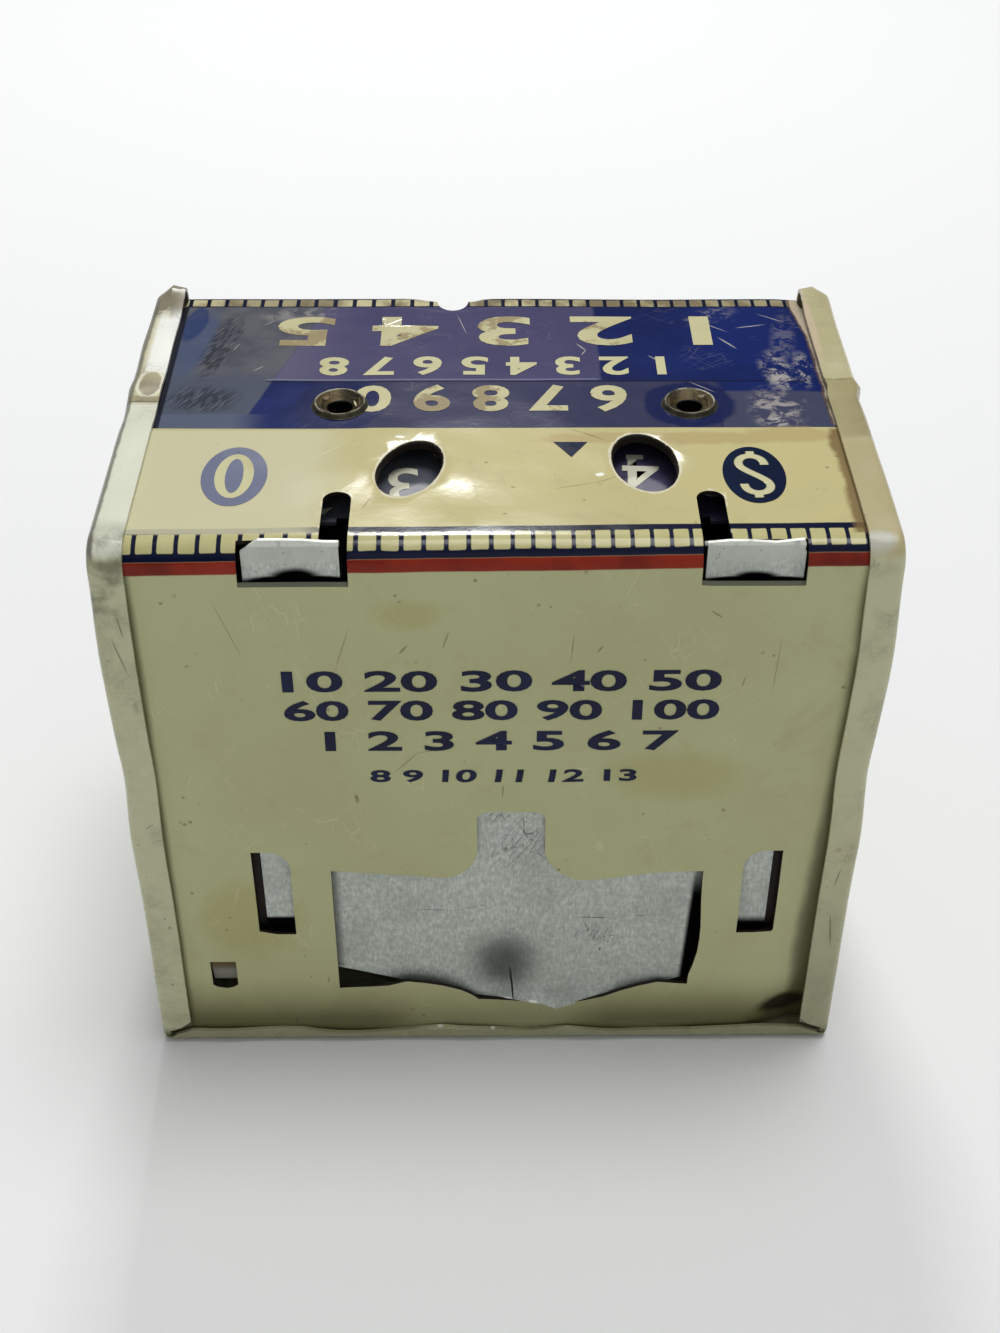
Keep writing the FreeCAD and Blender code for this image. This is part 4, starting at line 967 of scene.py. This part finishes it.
def press_door(p):
    """Move of a point of the door, in mm: a bowed lower edge that hangs over the lip, and lower arms."""
    move = ripple(p, 10.0, 77.0) * 0.03
    move.y = 0.0
    move.z += smooth(p.z, 12.0, 7.6) * along(DOOR_RISE, p.x)
    move.y += 1.25 * hill(p.x, -5.8, 5.6) * smooth(p.z, 8.7, 8.1)
    arm = smooth(p.z, 66.0, 69.0)
    move.z -= arm * (0.75 if p.x > 0 else 1.05)
    if p.x < 0:
        plate = smooth(p.z, 60.0, 64.0) * smooth(p.y, 23.7, 24.05)
        move.x += plate * (0.35 + 0.3 * smooth(p.x, -24.0, -20.0))
        move.x -= plate * 1.3 * smooth(p.z, 67.7, 69.3) * smooth(p.x, -25.5, -27.5)
        move.z += arm * 0.2 * math.sin(p.x * 1.3)
    else:
        move.z -= arm * 0.25 * smooth(p.x, 19.0, 15.5)
    return move


def press_eyelet(axis):
    """Move that flattens an eyelet's dome to a raised rim round a shallow cone."""
    def press(p):
        move = ripple(p, 2.4, 23.0) * 0.05
        away = math.hypot(p.x - axis.x, p.y - axis.y)
        if p.z > TOP - 0.02 and away > 1.25:
            crest = 0.5 * smooth(away, 2.95, 2.55)
            cone = 0.75 * min(max((2.5 - away) / 1.2, 0.0), 1.0)
            move.z += TOP + crest - cone - p.z
        return move
    return press


def depth_in_cover(p):
    """How far a point of the cover lies under its printed outer side, in mm."""
    if p.y > 0:
        dy, radius = p.y - (BACK - RIDGE_BEND), RIDGE_BEND
    else:
        dy, radius = FRONT + WIDE_BEND - p.y, WIDE_BEND
    dz = p.z - (TOP - radius)
    if dy > 0 and dz > 0:
        return radius - math.hypot(dy, dz)
    return radius - max(dy, dz)


def mark_bare(shape):
    """Note on each face of the cover: 0 on the print, 0.5 on cut edges and tabs, 1 on the inner side."""
    bare = shape.faces.layers.float.new("bare")
    for face in shape.faces:
        depths = [depth_in_cover(vertex.co / MM) for vertex in face.verts]
        if max(depths) < 0.08:
            face[bare] = 0.0
        elif min(depths) > SHEET - 0.1 and max(depths) < SHEET + 0.1:
            face[bare] = 1.0
        else:
            face[bare] = 0.5


def slice_at(shape, axis, place):
    """Cut a mesh with the plane at a place along an axis, in m."""
    normal = Vector((0, 0, 0))
    normal[axis] = 1
    bmesh.ops.bisect_plane(shape, geom=shape.verts[:] + shape.edges[:] + shape.faces[:], dist=1e-7,
                           plane_co=normal * place, plane_no=normal)


def cut_grid(shape, step, axes):
    """Slice a mesh with evenly spaced planes, so that it can follow a wave."""
    for axis in axes:
        values = [v.co[axis] for v in shape.verts]
        low, high = min(values), max(values)
        place = math.ceil((low + 1e-6) / step) * step
        while place < high - 1e-6:
            slice_at(shape, axis, place)
            place += step


def bend_mesh(shape, press):
    """Apply a move to each point."""
    for vertex in shape.verts:
        vertex.co += press(vertex.co / MM) * MM


def new_piece(name, shape, material, body):
    """Make an object from a bmesh, give it its finish and let it ride on a body."""
    mesh = bpy.data.meshes.new(name)
    shape.to_mesh(mesh)
    shape.free()
    piece = bpy.data.objects.new(name, mesh)
    bpy.context.scene.collection.objects.link(piece)
    dress(piece, material)
    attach(piece, body)
    return piece


SAME_PLACE = 0.000002   # corners closer than this are one, in m
FLAT_WITHIN = math.radians(0.5)
SMOOTH_WITHIN = math.radians(35)
ROUNDED_FROM = math.radians(50)
EDGE_ROUND = 0.05       # width of the rounding of sheet edges, in mm


def sheet_piece(node, press, body, cuts=(), marker=None):
    """Merged copy of a sheet metal node, bent as the real one is, with fine rounded edges."""
    shape = bmesh.new()
    shape.from_mesh(frame["nodes"][node].data)
    bmesh.ops.remove_doubles(shape, verts=shape.verts, dist=SAME_PLACE)
    bmesh.ops.dissolve_limit(shape, angle_limit=FLAT_WITHIN, verts=shape.verts, edges=shape.edges)
    if marker:
        marker(shape)
    for axis, place in cuts:
        slice_at(shape, axis, place * MM)
    cut_grid(shape, GRID * MM, (0, 1, 2))
    bend_mesh(shape, press)
    slot = SLOT_OF[node]
    piece = new_piece(node + "_sheet", shape, FINISHES[slot], body)
    for face in piece.data.polygons:
        face.use_smooth = True
    piece.data.set_sharp_from_angle(angle=SMOOTH_WITHIN)
    edge = piece.modifiers.new("edge", "BEVEL")
    edge.width = EDGE_ROUND * MM
    edge.segments = 2
    edge.limit_method = "ANGLE"
    edge.angle_limit = ROUNDED_FROM
    edge.use_clamp_overlap = True
    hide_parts(node)
    return piece


# Planes through the bends that need more corners: axis and place in mm
X_AXIS, Y_AXIS, Z_AXIS = 0, 1, 2
DOOR_CUTS = ((Z_AXIS, 7.8), (Z_AXIS, 8.1), (Z_AXIS, 8.4), (Z_AXIS, 8.7), (X_AXIS, -6.8), (X_AXIS, -5.3))
COVER_CUTS = ((X_AXIS, 2.4), (X_AXIS, 3.0), (X_AXIS, -6.8), (Y_AXIS, -23.98), (Y_AXIS, -24.2),
              (Y_AXIS, -24.43), (X_AXIS, 34.4), (X_AXIS, -34.4), (X_AXIS, 34.7), (X_AXIS, -34.7),
              (X_AXIS, TONGUE_X - 0.9), (X_AXIS, TONGUE_X + 0.9))

for node, shown in frame["nodes"].items():
    dress(shown, FINISHES[SLOT_OF[node]])
sheet_piece("cover_sheet", press_cover, "bank", COVER_CUTS, mark_bare)
sheet_piece("casing", press_casing, "bank")
sheet_piece("coin_door", press_door, "coin_door", DOOR_CUTS)
sheet_piece("dimes_eyelet", press_eyelet(DIMES_AXIS), "bank")
sheet_piece("dollars_eyelet", press_eyelet(DOLLARS_AXIS), "bank")


def text_shape(text, weight):
    """Flat mesh of plain figures."""
    curve = bpy.data.curves.new("figures", "FONT")
    curve.body = text
    curve.offset = weight
    curve.resolution_u = 4
    return flat_mesh(curve)


def flat_mesh(curve):
    """Bmesh of a curve or text."""
    holder = bpy.data.objects.new("outline", curve)
    bpy.context.scene.collection.objects.link(holder)
    bpy.context.view_layer.update()
    mesh = bpy.data.meshes.new_from_object(holder)
    bpy.data.objects.remove(holder)
    shape = bmesh.new()
    shape.from_mesh(mesh)
    bpy.data.meshes.remove(mesh)
    return shape


def fit_shape(shape, width, height):
    """Centre a flat shape and stretch it to a width and height in mm."""
    low = Vector([min(v.co[axis] for v in shape.verts) for axis in range(3)])
    high = Vector([max(v.co[axis] for v in shape.verts) for axis in range(3)])
    bmesh.ops.translate(shape, verts=shape.verts, vec=-(low + high) / 2)
    growth = (width * MM / (high.x - low.x), height * MM / (high.y - low.y), 1)
    bmesh.ops.scale(shape, verts=shape.verts, vec=growth)
    return shape


def on_top(x, y, lift=0.0):
    """Placement on the top panel, upright for a reader at the front."""
    return Matrix.Translation(Vector((x, y, TOP + INK_LIFT + lift)) * MM)


def on_back(x, z):
    """Placement on the back panel, upright for a reader at the back."""
    place = Vector((x, BACK + INK_LIFT, z)) * MM
    return Matrix.Translation(place) @ Matrix.Rotation(math.pi, 4, "Z") @ Matrix.Rotation(math.pi / 2, 4, "X")


def printed(name, shape, placement, material):
    """Lay a flat printed figure on the cover so that it follows the sheet."""
    bmesh.ops.transform(shape, matrix=placement, verts=shape.verts)
    cut_grid(shape, GRID * MM, (0, 1, 2))
    bend_mesh(shape, press_cover)
    return new_piece(name, shape, material, "bank")


def disc_shape(width, height):
    shape = bmesh.new()
    bmesh.ops.create_circle(shape, cap_ends=True, radius=0.5, segments=56)
    bmesh.ops.scale(shape, verts=shape.verts, vec=(width * MM, height * MM, 1))
    return shape


STROKE_FLATNESS = 0.03


def stroke_shape(strokes, width):
    """Flat mesh of brush strokes through points in mm; ends are round."""
    curve = bpy.data.curves.new("stroke", "CURVE")
    curve.dimensions = "3D"
    curve.bevel_depth = width / 2
    curve.bevel_resolution = 2
    curve.use_fill_caps = True
    curve.resolution_u = 6
    for points in strokes:
        spline = curve.splines.new("NURBS")
        spline.points.add(len(points) - 1)
        for point, place in zip(spline.points, points):
            point.co = (place[0], place[1], 0, 1)
        spline.order_u = 4 if len(points) > 3 else 2
        spline.use_endpoint_u = True
    shape = flat_mesh(curve)
    bmesh.ops.scale(shape, verts=shape.verts, vec=(MM, MM, MM * STROKE_FLATNESS))
    return shape


# Badges at the two ends of the top panel
CENTS_PLACE, DOLLAR_PLACE = (25.46, 12.45), (-25.2, 12.5)
printed("cents_badge", disc_shape(6.45, 10.6), on_top(*CENTS_PLACE), FADED_INK)
printed("cents_ring", disc_shape(3.8, 7.9), on_top(*CENTS_PLACE, 0.02), CREAM_INK)
printed("cents_middle", disc_shape(1.75, 6.1), on_top(*CENTS_PLACE, 0.04), FADED_INK)
printed("dollar_badge", disc_shape(6.15, 10.3), on_top(*DOLLAR_PLACE), BADGE_INK)
SERPENT = [(1.2, 1.75), (1.2, 2.4), (0.75, 3.3), (-0.5, 3.5), (-1.35, 2.7), (-1.4, 1.5), (-0.6, 0.55),
           (0.6, -0.55), (1.4, -1.5), (1.35, -2.7), (0.5, -3.5), (-0.75, -3.3), (-1.2, -2.4), (-1.2, -1.75)]
BARS = [[(0.0, 3.2), (0.0, 4.25)], [(0.0, -3.2), (0.0, -4.25)]]
printed("dollar_sign", stroke_shape([SERPENT] + BARS, 0.9), on_top(*DOLLAR_PLACE, 0.02), CREAM_INK)


def pointer():
    """Small navy triangle between the windows, its tip to the ridge."""
    shape = bmesh.new()
    bmesh.ops.create_circle(shape, cap_ends=True, radius=1.0, segments=3)
    fit_shape(shape, 3.4, 2.85)
    printed("pointer", shape, on_top(-7.5, 7.75), BADGE_INK)


pointer()

ROW_WEIGHT, DIAL_WEIGHT = 0.028, 0.01

# Rows of plain numbers: name, text, height, width, placement, ink
ROWS = (
    ("top_row_low", "6 7 8 9 0", 5.5, 28.4, on_top(0.45, -2.35), STAINED_INK),
    ("top_row_middle", "1 2 3 4 5 6 7 8", 4.1, 36.9, on_top(0.2, -9.2), CREAM_INK),
    ("top_row_high", "1 2 3 4 5", 6.7, 47.6, on_top(0.0, -17.0), STAINED_INK),
    ("back_row_one", "10 20 30 40 50", 2.65, 42.9, on_back(-0.5, 52.4), NAVY_INK),
    ("back_row_two", "60 70 80 90 100", 2.65, 43.0, on_back(-0.5, 48.7), NAVY_INK),
    ("back_row_three", "1 2 3 4 5 6 7", 2.65, 35.3, on_back(-0.5, 44.75), NAVY_INK),
    ("back_row_four", "8 9 10 11 12 13", 1.65, 27.0, on_back(-0.7, 40.1), NAVY_INK),
)
for name, text, height, width, placement, material in ROWS:
    printed(name, fit_shape(text_shape(text, ROW_WEIGHT), width, height), placement, material)

# Figures of the two dials; those that stand on a stem get a foot at this shift
FOOTED = {"1": 0.0, "4": 0.55, "7": -0.3}
FOOT_SIZE, FOOT_PLACE = (1.75, 0.85, 1), -2.87
FIGURE_WIDTHS = {"1": 2.2, "3": 3.0}
FIGURE_WIDTH, FIGURE_HEIGHT = 3.7, 6.5
FIGURES = 10


def dial_figures(name, axis, place, shown, direction, tilt, body):
    """Ten figures round a dial; the one shown stands at the given place."""
    reach = Vector((place[0] - axis.x, place[1] - axis.y, 0))
    for step in range(FIGURES):
        digit = str((shown + step) % FIGURES)
        width = FIGURE_WIDTHS.get(digit, FIGURE_WIDTH)
        shape = fit_shape(text_shape(digit, DIAL_WEIGHT), width, FIGURE_HEIGHT)
        if digit in FOOTED:
            foot = bmesh.ops.create_grid(shape, x_segments=1, y_segments=1, size=0.5 * MM)["verts"]
            bmesh.ops.scale(shape, verts=foot, vec=FOOT_SIZE)
            bmesh.ops.translate(shape, verts=foot, vec=Vector((FOOTED[digit], FOOT_PLACE, 0.004)) * MM)
        turn = Matrix.Rotation(math.radians(360 / FIGURES * step * direction), 4, "Z")
        spot = axis.copy()
        spot.z = DIAL_TOP + INK_LIFT
        placement = (Matrix.Translation(spot * MM) @ turn @ Matrix.Translation(reach * MM)
                     @ Matrix.Rotation(math.radians(tilt), 4, "Z"))
        bmesh.ops.transform(shape, matrix=placement, verts=shape.verts)
        new_piece(f"{name}_figure_{digit}", shape, DIAL_INK, body)


dial_figures("dimes", DIMES_AXIS, (9.2, 9.6), 3, 1, 3, "dimes_wheel")
dial_figures("dollars", DOLLARS_AXIS, (-14.6, 7.3), 4, -1, -3, "dollars_wheel")


FLOOR_PAPER = (0.83, 0.83, 0.82, 1)
FLOOR_SIZE = 30.0       # half the side, in m


def floor():
    """Plain pale floor."""
    shape = bmesh.new()
    bmesh.ops.create_grid(shape, x_segments=1, y_segments=1, size=FLOOR_SIZE)
    mesh = bpy.data.meshes.new("floor")
    shape.to_mesh(mesh)
    shape.free()
    piece = bpy.data.objects.new("floor", mesh)
    bpy.context.scene.collection.objects.link(piece)
    r = Recipe("floor_paper")
    r.color = FLOOR_PAPER
    r.finish(0.9, specular=0.2)
    mesh.materials.append(r.material)


def lamp(name, kind, place, aim, energy):
    """A light at a place, turned to its aim."""
    light = bpy.data.lights.new(name, kind)
    light.energy = energy
    holder = bpy.data.objects.new(name, light)
    holder.location = place
    holder.rotation_euler = (Vector(aim) - Vector(place)).to_track_quat("-Z", "Y").to_euler()
    bpy.context.scene.collection.objects.link(holder)
    return light


# Lights: place and aim in m, energy, then side in m or spread in radians
WINDOW_LIGHT = ((0.02, -0.45, 0.47), (0, 0, 0.05), 1.29, 0.07)
OVERHEAD_LIGHT = ((-0.1, -0.1, 0.8), (0, 0, 0.03), 1.43, math.radians(26))
BEHIND_LIGHT = ((-0.15, 0.55, 0.35), (0, 0, 0.03), 0.32, 0.5)


def lights():
    """A window low in front, a soft sky light overhead and a weak panel behind."""
    lamp("window", "AREA", *WINDOW_LIGHT[:3]).size = WINDOW_LIGHT[3]
    lamp("overhead", "SUN", *OVERHEAD_LIGHT[:3]).angle = OVERHEAD_LIGHT[3]
    lamp("behind", "AREA", *BEHIND_LIGHT[:3]).size = BEHIND_LIGHT[3]


# Camera: place, lens and frame height in mm; turn, tilt and roll in radians
CAMERA_PLACE = (1.31, 164.59, 164.43)
CAMERA_TURN = math.radians(180 - 0.666)
CAMERA_TILT = math.radians(90 - 38.317)
CAMERA_ROLL = math.radians(0.193)
LENS, FRAME_HEIGHT = 49.67, 36.0


def camera():
    """Camera behind and above the bank."""
    data = bpy.data.cameras.new("camera")
    data.sensor_fit = "VERTICAL"
    data.sensor_height = FRAME_HEIGHT
    data.lens = LENS
    data.clip_start = 0.01
    holder = bpy.data.objects.new("camera", data)
    place = Matrix.Translation(Vector(CAMERA_PLACE) * MM)
    upright = Matrix.Rotation(CAMERA_TURN, 4, "Z") @ Matrix.Rotation(CAMERA_TILT, 4, "X")
    holder.matrix_world = place @ upright @ Matrix.Rotation(CAMERA_ROLL, 4, "Z")
    bpy.context.scene.collection.objects.link(holder)
    bpy.context.scene.camera = holder


# Brightness of the studio sky by height of the direction, 0 at the horizon and 1 overhead
SKY = ((0.0, 0.8), (0.06, 0.8), (0.12, 0.13), (0.5, 0.13), (0.95, 0.55))
SKY_TINT = (0.93, 0.96, 1.0, 1)


def world():
    """Soft studio sky: pale low rim, darker walls and a brighter ceiling."""
    sky = bpy.data.worlds.new("studio")
    bpy.context.scene.world = sky
    sky.use_nodes = True
    tree = sky.node_tree
    direction = tree.nodes.new("ShaderNodeTexCoord").outputs["Generated"]
    split = tree.nodes.new("ShaderNodeSeparateXYZ")
    tree.links.new(direction, split.inputs[0])
    ramp = tree.nodes.new("ShaderNodeValToRGB")
    stops = ramp.color_ramp.elements
    while len(stops) < len(SKY):
        stops.new(0.5)
    for stop, (place, shade) in zip(stops, SKY):
        stop.position = place
        stop.color = (shade, shade, shade, 1)
    tree.links.new(split.outputs[2], ramp.inputs[0])
    background = tree.nodes["Background"]
    background.inputs["Color"].default_value = SKY_TINT
    tree.links.new(ramp.outputs[0], background.inputs["Strength"])


floor()
lights()
camera()
world()
bpy.context.scene.view_settings.view_transform = "Standard"
